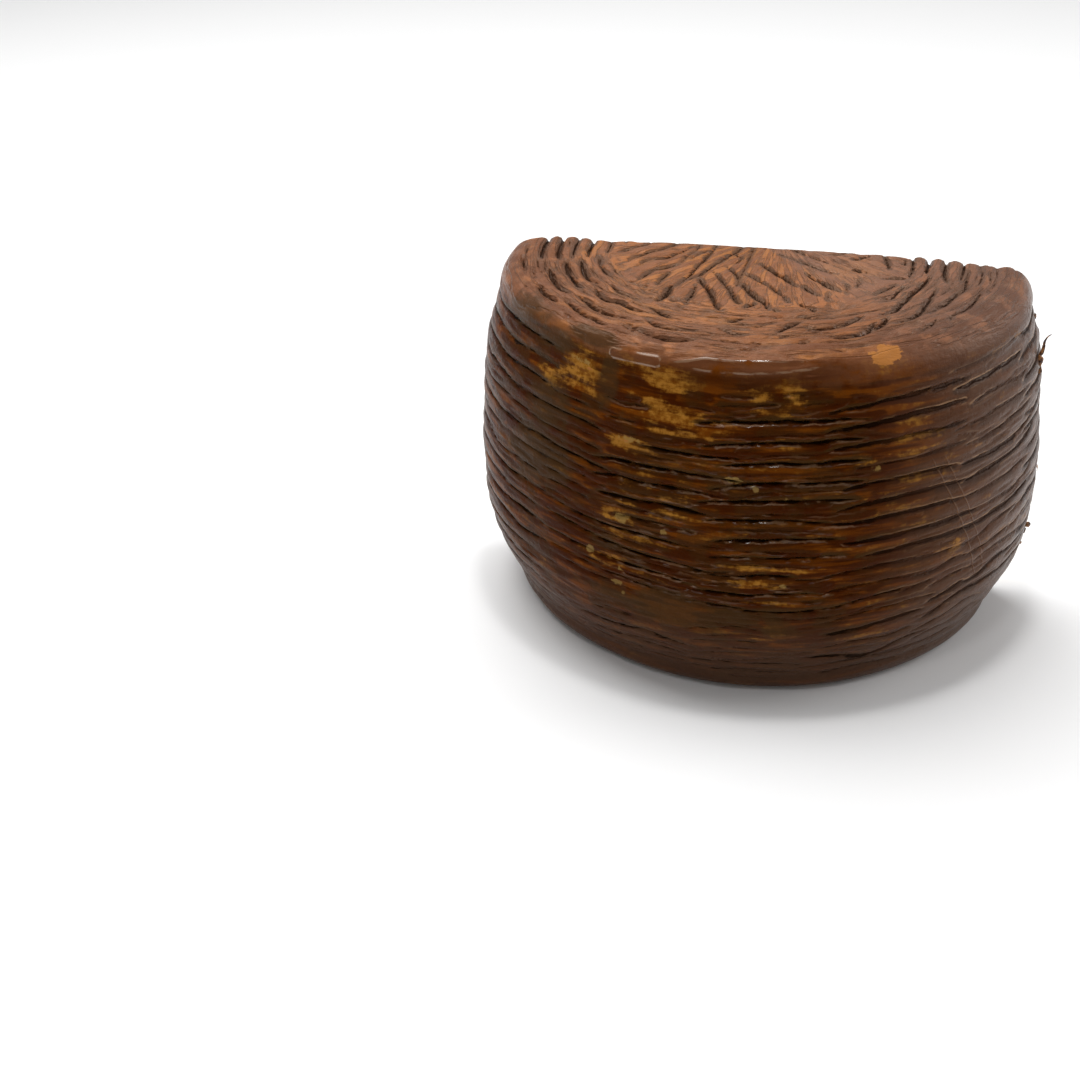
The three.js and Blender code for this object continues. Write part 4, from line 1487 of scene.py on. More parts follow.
        mesh.polygons.foreach_set("use_smooth", np.ones(len(mesh.polygons), bool))
        mesh.set_sharp_from_angle(angle=self.sharp_angle)
        mesh.update()
        return piece

    def paste_faces(self, mesh: bpy.types.Mesh, co: Array, depth: Array) -> Array:
        """Tell the faces of the cut from those of the rind.

        Args:
            mesh: The half wheel.
            co: Its smooth vertices.
            depth: Each vertex's depth under the skin.

        Returns:
            True for each face of paste.
        """
        corners = np.zeros(len(mesh.loops), np.int32)
        mesh.loops.foreach_get("vertex_index", corners)
        starts = np.zeros(len(mesh.polygons), np.int32)
        mesh.polygons.foreach_get("loop_start", starts)
        deepest = np.maximum.reduceat(depth[corners], starts)
        furthest = np.minimum.reduceat(co[corners, 1], starts)
        return (deepest > 0.0) | (furthest > -TINY)


@dataclass(frozen=True)
class Crumb:
    """A crumb on the rind: degrees round the side, height, how far it stands out, and size."""

    angle: float
    height: float
    stand: float
    size: Triple


@dataclass(frozen=True)
class Fibre:
    """A loose strand of rind: its root, and how it runs out, back and up from there."""

    angle: float
    height: float
    run: tuple[Triple, ...]
    half_width: float
    flatness: float


@dataclass
class Shreds:
    """The shreds and crumbs of rind that cling to the right of the side."""

    form: WheelForm
    axis: Vector
    sides: int = 8
    smoothness: int = 3
    per_piece: int = 5
    sunk: float = 0.9 * MM
    lump: float = 0.45
    lump_cells: float = 1.6
    lump_offset: float = 900.0
    taper: float = 0.75
    taper_power: float = 1.5
    ripple: float = 0.25
    ripple_turns: float = 7.0
    twist: float = 2.2
    crumbs: tuple[Crumb, ...] = (
        Crumb(80.5, 98, 0.1, (1.1, 1.0, 2.1)), Crumb(81.0, 94.0, 0.0, (0.8, 0.8, 1.2)),
        Crumb(88.0, 109, 0.0, (0.8, 1.2, 1.1)), Crumb(84.5, 62.5, -0.1, (0.8, 0.9, 0.8)),
        Crumb(81.0, 35, 0.7, (1.3, 1.0, 0.9)), Crumb(80.5, 33, 0.0, (1.0, 0.9, 1.4)),
        Crumb(77.0, 31, 0.2, (0.8, 0.8, 0.6)),
    )
    curled: tuple[Fibre, ...] = (
        Fibre(
            81.0, 99.5, ((0, 0, 0), (1.1, 0.3, 2.6), (1.3, 0.5, 5.0), (2.1, 0.8, 6.8), (3.3, 1.0, 7.8)),
            0.6, 0.5,
        ),
        Fibre(81.5, 99.0, ((0, 0, 0), (1.2, -0.4, 1.6), (1.5, -0.6, 3.6)), 0.5, 0.6),
    )
    flat: tuple[Fibre, ...] = (
        Fibre(82.0, 58.5, ((0, 0, 0), (0.7, 0.2, -1.4), (0.8, 0.3, -3.2)), 0.45, 0.5),
        Fibre(80.0, 53.0, ((0, 0, 0), (0.6, 0.2, 1.0), (0.6, 0.2, 2.4)), 0.35, 0.6),
    )

    def foot(self, angle: float, height: float) -> tuple[Vector, Vector, Vector]:
        """Find a place on the side.

        Args:
            angle: Degrees round the side from the front.
            height: Height in millimetres.

        Returns:
            The place, the way straight out of the side there, and the way round it.
        """
        turn = math.radians(angle)
        radius = float(self.form.radius_at(height * MM) * self.form.plan_factor(np.array(turn)))
        out = Vector((math.sin(turn), -math.cos(turn), 0.0))
        place = self.axis + out * (radius - self.sunk) + Vector((0, 0, height * MM))
        return place, out, Vector((-out.y, out.x, 0.0))

    def crumb_piece(self, finish: Material) -> Object:
        """Model every crumb as a lumpy ball, half sunk in the rind.

        Args:
            finish: The shreds' material.

        Returns:
            The crumbs as one piece.
        """
        bm = bmesh.new()
        for crumb in self.crumbs:
            place, out, _ = self.foot(crumb.angle, crumb.height)
            made = bmesh.ops.create_icosphere(bm, subdivisions=self.smoothness, radius=1.0)["verts"]
            for vert in made:
                vert.co *= 1.0 + self.lump * noise.noise(vert.co * self.lump_cells + place * self.lump_offset)
            size = Matrix.Diagonal((*(side * MM for side in crumb.size), 1.0))
            middle = Matrix.Translation(place + out * crumb.stand * MM)
            bmesh.ops.transform(bm, matrix=middle @ size, verts=made)
        return self.finished(bm, "rind_crumbs", finish)

    def fibre_piece(self, name: str, fibres: tuple[Fibre, ...], finish: Material) -> Object:
        """Model loose strands as tapering, flattened rods.

        Args:
            name: The piece's name.
            fibres: The strands.
            finish: The shreds' material.

        Returns:
            The strands as one piece.
        """
        bm = bmesh.new()
        for fibre in fibres:
            root, out, round_way = self.foot(fibre.angle, fibre.height)
            frame = Matrix((out, round_way, Vector((0, 0, 1)))).transposed()
            path = [Vector(place) for place in eased(fibre.run, 3, self.per_piece)]
            before = None
            for k, place in enumerate(path):
                share = k / (len(path) - 1)
                thin = 1.0 - self.taper * share**self.taper_power
                uneven = 1.0 + self.ripple * math.sin(self.ripple_turns * share)
                width = fibre.half_width * MM * thin * uneven
                way = path[min(k + 1, len(path) - 1)] - path[max(k - 1, 0)]
                turn = (frame @ way).to_track_quat("Z", "Y").to_matrix().to_4x4()
                twist = Matrix.Rotation(self.twist * share, 4, "Z")
                flat = Matrix.Diagonal((1.0, fibre.flatness, 1.0, 1.0))
                capped = k in (0, len(path) - 1)
                made = bmesh.ops.create_circle(bm, cap_ends=capped, segments=self.sides, radius=width)
                ring = made["verts"]
                move = Matrix.Translation(root + frame @ place) @ turn @ twist @ flat
                bmesh.ops.transform(bm, matrix=move, verts=ring)
                edges = list({edge for vert in ring for edge in vert.link_edges})
                if before:
                    bmesh.ops.bridge_loops(bm, edges=before + edges)
                before = edges
        bmesh.ops.recalc_face_normals(bm, faces=bm.faces[:])
        return self.finished(bm, name, finish)

    def finished(self, bm: BMesh, name: str, finish: Material) -> Object:
        """Turn a shred's mesh into a dressed piece.

        Args:
            bm: The mesh being built.
            name: The piece's name.
            finish: The shreds' material.

        Returns:
            The piece.
        """
        made = object_from(bm, name)
        made.data.materials.append(finish)
        made.data.polygons.foreach_set("use_smooth", np.ones(len(made.data.polygons), bool))
        return made

    def build(self, finish: Material) -> list[Object]:
        """Make one piece for each kind of shred.

        Args:
            finish: The shreds' material.

        Returns:
            The pieces.
        """
        return [
            self.crumb_piece(finish),
            self.fibre_piece("curled_shred", self.curled, finish),
            self.fibre_piece("flat_shred", self.flat, finish),
        ]


class Value:
    """A node's output that takes part in sums."""

    def __init__(self, paint: Painter, socket: bpy.types.NodeSocket) -> None:
        """Keep the output, and the painter that lays out what is made of it."""
        self.paint = paint
        self.socket = socket

    def __add__(self, other: Value | float) -> Value:
        """Add."""
        return self.paint.math("ADD", self, other)

    def __sub__(self, other: Value | float) -> Value:
        """Take away."""
        return self.paint.math("SUBTRACT", self, other)

    def __rsub__(self, other: float) -> Value:
        """Take this away from a number."""
        return self.paint.math("SUBTRACT", other, self)

    def __mul__(self, other: Value | float) -> Value:
        """Multiply."""
        return self.paint.math("MULTIPLY", self, other)

    def __abs__(self) -> Value:
        """Drop the sign."""
        return self.paint.math("ABSOLUTE", self)

    def eased(self, low: Value | float, high: Value | float) -> Value:
        """Ease from 0 to 1 between two bounds."""
        inputs = {"Value": self, "From Min": low, "From Max": high}
        return self.paint.value("ShaderNodeMapRange", "Result", inputs, interpolation_type="SMOOTHSTEP")


Values = dict[str, Value]
Rgb = tuple[int, int, int]


class Tint(NamedTuple):
    """A colour that is laid over another, and how strongly."""

    rgb: Rgb
    strength: float


def colour(rgb: Rgb) -> tuple[float, float, float, float]:
    """Turn a screen colour into the linear values that the sockets take.

    Args:
        rgb: Red, green and blue, 0 to 255.

    Returns:
        Linear red, green, blue and full alpha.
    """
    shares = [part / 255.0 for part in rgb]
    return (*(s / 12.92 if s <= 0.04045 else ((s + 0.055) / 1.055) ** 2.4 for s in shares), 1.0)


class Painter:
    """A short way to lay out the nodes of a material or a group."""

    step = 180.0

    def __init__(self, tree: Tree) -> None:
        """Start on an empty tree."""
        self.tree = tree

    def plug(self, target: bpy.types.NodeSocket, value: object) -> None:
        """Link an output to an input, or set the input's own value.

        Args:
            target: The input.
            value: The output or the constant.
        """
        if isinstance(value, Value):
            self.tree.links.new(value.socket, target)
        else:
            target.default_value = value

    def node(self, kind: str, inputs: dict | None = None, **settings: object) -> bpy.types.Node:
        """Add a node.

        Args:
            kind: The node's type name.
            inputs: Constants or values for its inputs, by name or index.
            **settings: Properties set on the node.

        Returns:
            The node.
        """
        place = len(self.tree.nodes) * self.step
        made = self.tree.nodes.new(kind)
        made.location = (place, 0.0)
        for key, value in settings.items():
            setattr(made, key, value)
        for key, value in (inputs or {}).items():
            self.plug(made.inputs[key], value)
        return made

    def value(self, kind: str, output: str | int, inputs: dict | None = None, **settings: object) -> Value:
        """Add a node and give one of its outputs."""
        return Value(self, self.node(kind, inputs, **settings).outputs[output])

    def math(self, operation: str, *values: Value | float, clamp: bool = False) -> Value:
        """Add a math node and give its result."""
        return self.value("ShaderNodeMath", 0, dict(enumerate(values)), operation=operation, use_clamp=clamp)

    def mask(self, mask: Mask) -> Value:
        """Read a value kept at the vertices."""
        return self.value("ShaderNodeAttribute", "Fac", attribute_name=mask.value)

    def place(self) -> Value:
        """Read the object coordinates."""
        return self.value("ShaderNodeTexCoord", "Object")

    def noise(self, scale: float, detail: float, stretch: Triple) -> Value:
        """Add noise on object coordinates.

        Args:
            scale: Cells to the metre.
            detail: Octaves.
            stretch: Scale along each axis.

        Returns:
            The noise, from 0 to 1.
        """
        mapped = self.value("ShaderNodeMapping", 0, {"Vector": self.place(), "Scale": stretch})
        return self.value("ShaderNodeTexNoise", "Fac", {"Vector": mapped, "Scale": scale, "Detail": detail})

    def shaken(self, base: Value, noises: Values, **weights: float) -> Value:
        """Add noises to a value, each around its own middle.

        Args:
            base: The value.
            noises: The noises by name.
            **weights: How much of each noise is added, by its name.

        Returns:
            The uneven value.
        """
        for name, weight in weights.items():
            base = self.math("MULTIPLY_ADD", noises[name] - NOISE_MIDDLE, weight, base)
        return base

    def mix(self, share: Value, first: Value | Rgb, second: Value | Rgb) -> Value:
        """Mix two colours by a share."""
        first, second = (tone if isinstance(tone, Value) else colour(tone) for tone in (first, second))
        return self.value("ShaderNodeMix", 2, {0: share, 6: first, 7: second}, data_type="RGBA")

    def lay(self, base: Value, share: Value, tint: Tint) -> Value:
        """Lay a tint over a colour where a share tells."""
        return self.mix(share * tint.strength, base, tint.rgb)

    def mottle(self, group: Tree, **inputs: float) -> tuple[Value, Value]:
        """Place the mottle group and give its soft and its sharp mask."""
        made = self.node("ShaderNodeGroup", inputs, node_tree=group)
        return Value(self, made.outputs["Soft"]), Value(self, made.outputs["Sharp"])


class Surface(Painter):
    """A material's painter, which also fills its surface shader."""

    def __init__(self, name: str) -> None:
        """Start the material.

        Args:
            name: Its name.
        """
        self.material = bpy.data.materials.new(name)
        self.material.use_nodes = True
        super().__init__(self.material.node_tree)
        self.tree.nodes.clear()
        self.shader = self.node("ShaderNodeBsdfPrincipled")
        output = self.node("ShaderNodeOutputMaterial")
        self.tree.links.new(self.shader.outputs[0], output.inputs[0])

    def bump(self, height: Value, strength: float, distance: float) -> Value:
        """Turn a height into a normal."""
        inputs = {"Height": height, "Strength": strength, "Distance": distance}
        return self.value("ShaderNodeBump", "Normal", inputs)

    def finish(self, sockets: dict[str, object]) -> Material:
        """Fill the surface shader's sockets.

        Args:
            sockets: A value or a constant for each socket, by name.

        Returns:
            The material.
        """
        for name, value in sockets.items():
            self.plug(self.shader.inputs[name], value)
        return self.material


def float_group(name: str, inputs: dict[str, float], outputs: tuple[str, ...]) -> Tree:
    """Start a node group whose sockets are all plain numbers.

    Args:
        name: The group's name.
        inputs: Its inputs with their starting values.
        outputs: Its outputs.

    Returns:
        The group.
    """
    tree = bpy.data.node_groups.new(name, "ShaderNodeTree")
    for key, value in inputs.items():
        tree.interface.new_socket(key, in_out="INPUT", socket_type="NodeSocketFloat").default_value = value
    for key in outputs:
        tree.interface.new_socket(key, in_out="OUTPUT", socket_type="NodeSocketFloat")
    return tree


def mottle_group() -> Tree:
    """Build the blotches that rind, paste and shreds share.

    Returns:
        A group that takes a scale, two bounds and a shift, and gives a soft and a sharp mask.
    """
    starts = {"Scale": 60.0, "Low": 0.4, "High": 0.6, "Shift": 0.0}
    tree = float_group("mottle", starts, ("Soft", "Sharp"))
    paint = Painter(tree)
    made = paint.node("NodeGroupInput").outputs
    given = {name: Value(paint, made[name]) for name in starts}
    moved = paint.value("ShaderNodeVectorMath", 0, {0: paint.place(), 1: given["Shift"]}, operation="ADD")
    form = {"Vector": moved, "Scale": given["Scale"], "Detail": 6.0, "Roughness": 0.62}
    cloud = paint.value("ShaderNodeTexNoise", "Fac", form)
    paint.node("NodeGroupOutput", {"Soft": cloud, "Sharp": cloud.eased(given["Low"], given["High"])})
    return tree


def strand_group() -> Tree:
    """Build streaks that run out from a middle, or round it.

    Returns:
        A group that takes the middle, the cells to the metre each way and a ringed share, and gives a streak.
    """
    turn_radius = 60 * MM
    names = ("Middle X", "Middle Y", "Across", "Along", "Ringed")
    tree = float_group("strands", dict.fromkeys(names, 0.0), ("Streak",))
    paint = Painter(tree)
    made = paint.node("NodeGroupInput").outputs
    middle_x, middle_y, across, along, ringed = (Value(paint, made[name]) for name in names)
    place = paint.node("ShaderNodeSeparateXYZ", {0: paint.place()}).outputs
    x = Value(paint, place[0]) - middle_x
    y = Value(paint, place[1]) - middle_y
    out = paint.math("SQRT", x * x + y * y)
    turn = paint.math("ARCTAN2", x, y * -1.0) * turn_radius
    change = (out - turn) * ringed
    cells = {0: (turn + change) * across, 1: (out - change) * along}
    spread = paint.value("ShaderNodeCombineXYZ", 0, cells)
    cloud = paint.value("ShaderNodeTexNoise", "Fac", {"Vector": spread, "Scale": 1.0, "Detail": 3.0})
    paint.node("NodeGroupOutput", {"Streak": cloud})
    return tree


@dataclass(frozen=True)
class RindFinish:
    """Oiled, basket-marked rind: worn amber and brown on the crests, painted shade in and beside the grooves,
    painted highlights and sheen.
    """

    mottle: Tree
    strands: Tree
    axis: Vector
    fan_middle: Span = (2 * MM, 14 * MM)
    side_dark: Rgb = (58, 21, 1)
    side_mid: Rgb = (112, 57, 6)
    side_cloud: Tint = Tint((60, 40, 15), 0.4)
    # Painted shade beside the side's grooves: above them at the left and middle, below them at the right
    shade_over_groove: Tint = Tint((60, 40, 15), 0.8)
    shade_under_groove: Tint = Tint((54, 38, 31), 0.85)
    # Painted highlight: glints under the grooves where the side shines, and light lines above the grooves at
    # the right
    strand_edge_highlight: Tint = Tint((152, 118, 88), 0.5)
    # Greyer brown towards the right: partly the rind's own duller tone, partly painted sheen
    right_brown_and_sheen: Tint = Tint((84, 56, 40), 0.75)
    # Painted reflection of the floor: greyer towards the base of the side
    foot_floor_reflection: Tint = Tint((78, 58, 46), 0.7)
    amber: Rgb = (164, 112, 42)
    amber_deep: Rgb = (112, 66, 14)
    amber_bare: Rgb = (160, 104, 52)
    amber_strength: float = 0.85
    pale: Tint = Tint((140, 112, 62), 0.75)
    end_crest: Rgb = (153, 97, 60)
    end_mid: Rgb = (127, 81, 54)
    end_ochre: Tint = Tint((162, 104, 54), 0.6)
    end_cloud: Tint = Tint((100, 64, 42), 0.6)
    # Painted sheen: the ends turn greyer towards the right
    end_right_sheen: Tint = Tint((118, 86, 71), 0.5)
    # Painted shade: grey-brown in the ends' hollows beside the grooves and along the thin valleys between
    # strands
    end_hollow_shade: Tint = Tint((88, 66, 52), 0.8)
    end_valley_shade: Tint = Tint((88, 66, 52), 0.5)
    end_fleck: Tint = Tint((88, 66, 52), 0.35)
    rim_brown: Rgb = (100, 60, 38)
    rim_right: Rgb = (86, 58, 45)
    rim_strength: float = 0.8
    rim_blister: Tint = Tint((100, 60, 38), 0.6)
    # Darker, greener patches: partly the rind's own olive tone, partly painted shade
    rim_olive_and_shade: Tint = Tint((62, 43, 22), 0.7)
    # Painted highlight along the rim's lip, ledge and blister outline
    rim_line: Tint = Tint((152, 118, 88), 0.45)
    # Painted shade in a band under the rim's ledge
    ledge_shade: Tint = Tint((52, 20, 5), 0.7)
    # Painted shade: the near-black cores of the grooves, greyer at the right and on the ends
    groove: Rgb = (14, 5, 1)
    right_groove_shade: Rgb = (48, 33, 27)
    end_groove_shade: Rgb = (52, 33, 22)
    thread_mark: Tint = Tint((140, 104, 80), 0.3)
    thread_gap: float = 4.8
    thread_half: Span = (0.42, 0.1)
    thread_foot: Span = (36 * MM, 44 * MM)
    thread_top: Span = (90 * MM, 84 * MM)
    foot_heights: Span = (8 * MM, 46 * MM)
    wear_middle: float = 0.58
    wear_gain: float = 2.3
    sheen: tuple[float, float, float, float] = (1.0, 0.6, 0.35, 1.0)
    # The strands' noises: cells to the metre across a strand and along it
    strand_cells: tuple[tuple[str, float, float], ...] = (("strand", 230.0, 40.0), ("fibre", 1100.0, 220.0))
    # Masks cut from the noises: which noise, and the two values that it is eased between
    cuts: tuple[tuple[str, str, float, float], ...] = (
        ("umber_wide", "broad", 0.42, 0.54), ("umber_small", "patchy", 0.4, 0.54),
        ("broken_edge", "thin", 0.4, 0.55), ("ochre_wide", "broad", 0.48, 0.6),
        ("ochre_strand", "strand", 0.42, 0.6), ("cloud_wide", "broad", 0.54, 0.42),
        ("cloud_small", "patchy", 0.42, 0.56), ("fleck", "fibre", 0.5, 0.68),
        ("rim_patches", "patchy", 0.34, 0.56), ("ledge_streaks", "streak", 0.38, 0.52),
        ("gloss_patches", "patchy", 0.4, 0.5), ("dots", "fine", 0.54, 0.62),
    )
    # Bands beside a groove: the two distances from its edge, in millimetres, that each is eased between
    bands: tuple[tuple[str, float, float], ...] = (
        ("core", -0.08, -0.6), ("edge_near", -0.05, 0.15), ("edge_far", 0.7, 0.35), ("shade", 2.6, 0.0),
        ("crown", 0.2, 1.8), ("hollow", 1.3, 0.2),
    )

    def noises(self, paint: Painter) -> Values:
        """Lay out the noises that the rind's parts share, and the masks cut from them.

        Args:
            paint: The material's painter.

        Returns:
            The noises and masks by name.
        """
        fan = {"Middle X": self.axis.x + self.fan_middle[0], "Middle Y": self.axis.y + self.fan_middle[1]}
        rings = {"Middle X": self.axis.x, "Middle Y": self.axis.y, "Ringed": 1.0}
        made = {
            "broad": paint.mottle(self.mottle, Scale=26.0)[0],
            "patchy": paint.mottle(self.mottle, Scale=120.0, Shift=3.0)[0],
            "fine": paint.mottle(self.mottle, Scale=520.0, Shift=7.0)[0],
            "streak": paint.noise(110.0, 5.0, (0.45, 0.45, 4.6)),
            "thin": paint.noise(300.0, 5.0, (0.5, 0.5, 2.2)),
            "beads": paint.noise(700.0, 2.0, (0.6, 0.6, 1.5)).eased(0.48, 0.54),
        }
        ring = paint.mask(Mask.RING)
        for name, across, along in self.strand_cells:
            cells = {"Across": across, "Along": along}
            inner, outer = (
                paint.value("ShaderNodeGroup", "Streak", {**middle, **cells}, node_tree=self.strands)
                for middle in (fan, rings)
            )
            made[name] = outer * ring + inner * (1.0 - ring)
        for name, source, low, high in self.cuts:
            made[name] = made[source].eased(low, high)
        return made

    def grooves(self, paint: Painter, noises: Values) -> Values:
        """Draw the grooves from the distance to the nearest one, kept in millimetres.

        Args:
            paint: The material's painter.
            noises: The shared noises.

        Returns:
            The bands beside the grooves, the calm share, and the shares below and above a groove.
        """
        facing = noises["facing"]
        calm = (1.0 - facing) * paint.mask(Mask.RIGHT).eased(0.0, 0.5)
        rough = calm * -1.5 + facing * -1.1 + 2.1
        grain = (noises["fibre"] - noises["thin"]) * facing + noises["thin"]
        gap = (grain - NOISE_MIDDLE) * rough + paint.mask(Mask.GAP)
        gap = paint.shaken(gap, noises, fine=0.8)
        firm = paint.mask(Mask.FIRM).eased(0.2, 1.0)
        made = {name: gap.eased(low, high) for name, low, high in self.bands}
        made["edge"] = made["edge_near"] * made["edge_far"]
        for name in ("core", "edge", "shade", "hollow"):
            made[name] = made[name] * firm
        below = paint.mask(Mask.BELOW)
        return {**made, "calm": calm, "below": below, "above": 1.0 - below}

    def side_colour(self, paint: Painter, noises: Values, marks: Values) -> Value:
        """Colour the side: blotches, worn amber, painted shade beside the grooves and painted highlights
        along the strand edges.

        Args:
            paint: The material's painter.
            noises: The shared noises.
            marks: The grooves.

        Returns:
            The side's colour.
        """
        right, above, below = paint.mask(Mask.RIGHT), marks["above"], marks["below"]
        held = paint.math("MINIMUM", marks["crown"] * 0.16 + noises["streak"], 0.7)
        side = paint.mix(held.eased(0.47, 0.82), self.side_dark, self.side_mid)
        side = paint.lay(side, noises["umber_wide"] * noises["umber_small"], self.side_cloud)
        # Greyer towards the right: partly the rind's own tone, partly painted sheen
        side = paint.lay(side, right, self.right_brown_and_sheen)
        worn = (held - self.wear_middle) * self.wear_gain + paint.mask(Mask.AMBER)
        worn = paint.shaken(worn, noises, patchy=1.0, thin=1.2, fine=1.0).eased(0.26, 1.12)
        speckle = (noises["fine"] * 0.5 + noises["thin"] * 0.5).eased(0.4, 0.6)
        amber = paint.mix(speckle, self.amber_deep, self.amber)
        side = paint.mix(worn * self.amber_strength, side, amber)
        # Painted shade: darker above the grooves at the left and middle, below them at the right
        over = paint.math("SUBTRACT", above, right, clamp=True) * marks["shade"]
        side = paint.lay(side, over, self.shade_over_groove)
        side = paint.lay(side, below * right * marks["shade"], self.shade_under_groove)
        # Painted highlight: glints on the strands' lower lips where the side shines, light lines on the
        # strand edges at the right
        lower = below * marks["edge"] * noises["broken_edge"] * paint.mask(Mask.WET)
        light = lower * 0.7 + above * right * marks["edge"] * 1.6
        side = paint.lay(side, light, self.strand_edge_highlight)
        spots = paint.shaken(paint.mask(Mask.PALE), noises, fine=1.6)
        return paint.lay(side, spots.eased(0.35, 0.65), self.pale)

    def end_colour(self, paint: Painter, noises: Values, marks: Values) -> Value:
        """Colour the ends: each strand its own tone, painted grey-brown shade in the hollows and valleys,
        painted sheen towards the right.

        Args:
            paint: The material's painter.
            noises: The shared noises.
            marks: The grooves.

        Returns:
            The end's colour.
        """
        tone = noises["strand"] * 0.6 + noises["patchy"] * 0.4
        end = paint.mix(tone.eased(0.42, 0.56), self.end_mid, self.end_crest)
        for share, tint in (
            (noises["ochre_wide"] * noises["ochre_strand"], self.end_ochre),
            (noises["cloud_wide"] * noises["cloud_small"], self.end_cloud),
            # Painted sheen towards the right
            (paint.mask(Mask.RIGHT), self.end_right_sheen),
            # Painted shade in the hollows and the valleys
            (marks["hollow"], self.end_hollow_shade),
            (noises["valley"], self.end_valley_shade),
            (noises["fleck"], self.end_fleck),
        ):
            end = paint.lay(end, share, tint)
        return end

    def rim_colour(self, paint: Painter, noises: Values, skin: Value) -> Value:
        """Colour the rim over the side and the end: brown, painted shade under the ledge, bare amber at one
        place, painted highlights along its lines.

        Args:
            paint: The material's painter.
            noises: The shared noises.
            skin: The colour so far.

        Returns:
            The colour with the rim's own.
        """
        tone = paint.mix(paint.mask(Mask.RIGHT), self.rim_brown, self.rim_right)
        rim = paint.mask(Mask.RIM) * noises["rim_patches"]
        skin = paint.mix(rim * self.rim_strength, skin, tone)
        # Painted shade under the ledge
        skin = paint.lay(skin, paint.mask(Mask.LEDGE) * noises["ledge_streaks"], self.ledge_shade)
        # Darker, greener patches: partly the rind's own olive tone, partly painted shade
        olive = paint.shaken(paint.mask(Mask.OLIVE), noises, patchy=1.4, thin=0.8)
        skin = paint.lay(skin, olive.eased(0.3, 0.9), self.rim_olive_and_shade)
        skin = paint.lay(skin, paint.mask(Mask.BLISTER).eased(0.1, -0.3), self.rim_blister)
        # Painted highlight along the rim's lines
        skin = paint.lay(skin, noises["line"], self.rim_line)
        bare = paint.shaken(paint.mask(Mask.AMBER), noises, thin=3.0, fine=2.0)
        return paint.mix(bare.eased(1.4, 1.7), skin, self.amber_bare)

    def thread_marks(self, paint: Painter, height: Value) -> Value:
        """Draw the two thin thread marks down the right of the side.

        Args:
            paint: The material's painter.
            height: The height of each place.

        Returns:
            The marks' share.
        """
        gap = paint.mask(Mask.SEAM)
        marks = paint.math("MINIMUM", abs(gap), abs(gap - self.thread_gap)).eased(*self.thread_half)
        return marks * height.eased(*self.thread_foot) * height.eased(*self.thread_top)

    def gloss(self, paint: Painter, noises: Values, marks: Values) -> Value:
        """Wet the lower edges of the side's strands, the dots in the ends' hollows and the rim's line.

        Args:
            paint: The material's painter.
            noises: The shared noises.
            marks: The grooves.

        Returns:
            The coat's weight.
        """
        side_wet = marks["edge"] * marks["below"] * noises["beads"]
        dots = marks["shade"] * noises["dots"]
        wet = ((dots - side_wet) * noises["facing"] + side_wet) * paint.mask(Mask.WET)
        return paint.math("MAXIMUM", wet, noises["line"])

    def build(self) -> Material:
        """Lay out the rind's nodes.

        Returns:
            The material.
        """
        paint = Surface("oiled_rind")
        noises = self.noises(paint)
        facing = paint.shaken(paint.mask(Mask.FACING), noises, patchy=2.0).eased(-0.5, 1.0)
        noises["facing"] = facing
        # Thin valleys between the ends' strands: painted shade, and sunk in the bump
        noises["valley"] = abs(noises["strand"] - NOISE_MIDDLE).eased(0.035, 0.0) * facing
        # The rim's lines: painted highlight in the colour, and the coat's gloss
        line = paint.shaken(paint.mask(Mask.LINE), noises, thin=0.8)
        noises["line"] = line.eased(0.5, 0.2) * noises["gloss_patches"]
        marks = self.grooves(paint, noises)
        height = paint.value("ShaderNodeSeparateXYZ", "Z", {0: paint.place()})
        threads = self.thread_marks(paint, height)
        right = paint.mask(Mask.RIGHT)

        side = self.side_colour(paint, noises, marks)
        # Painted floor reflection: the side turns greyer towards its base
        side = paint.lay(side, 1.0 - height.eased(*self.foot_heights), self.foot_floor_reflection)
        skin = paint.mix(facing, side, self.end_colour(paint, noises, marks))
        skin = self.rim_colour(paint, noises, skin)
        skin = paint.lay(skin, threads, self.thread_mark)
        # Painted shade: the grooves' cores are painted dark, less so at the calm right and on the ends
        dark = paint.mix(facing, paint.mix(right, self.groove, self.right_groove_shade), self.end_groove_shade)
        deep = marks["calm"] * -0.5 + facing * -0.1 + 0.9
        skin = paint.mix(marks["core"] * deep, skin, dark)

        bump = noises["fibre"] * facing * 0.7
        for part, weight in (
            (noises["valley"], -0.6),
            (noises["fine"], 0.4),
            (noises["thin"], 0.5),
            (threads, 0.6),
            (marks["core"], -1.2),
            (marks["hollow"] * facing, -0.8),
        ):
            bump = part * weight + bump
        return paint.finish({
            "Base Color": skin,
            "Roughness": noises["fine"] * 0.4 + 0.12,
            "Specular IOR Level": right * 0.1 + facing * 0.14 + 0.04,
            "Specular Tint": self.sheen,
            "Coat Weight": self.gloss(paint, noises, marks),
            "Coat Roughness": 0.12,
            "Normal": paint.bump(bump, 0.7, 0.7 * MM),
        })


@dataclass(frozen=True)
class ShredFinish:
    """Dry torn rind, dark brown with amber where the paste shows through."""

    mottle: Tree
    dark: Rgb = (58, 34, 26)
    light: Rgb = (158, 108, 62)

    def build(self) -> Material:
        """Lay out the shreds' nodes.

        Returns:
            The material.
        """
        paint = Surface("dry_shred")
        soft, sharp = paint.mottle(self.mottle, Scale=700.0, Low=0.4, High=0.6, Shift=9.0)
        return paint.finish({
            "Base Color": paint.mix(sharp, self.dark, self.light),
            "Roughness": 0.5,
            "Specular IOR Level": 0.3,
            "Normal": paint.bump(soft, 0.6, 0.4 * MM),
        })


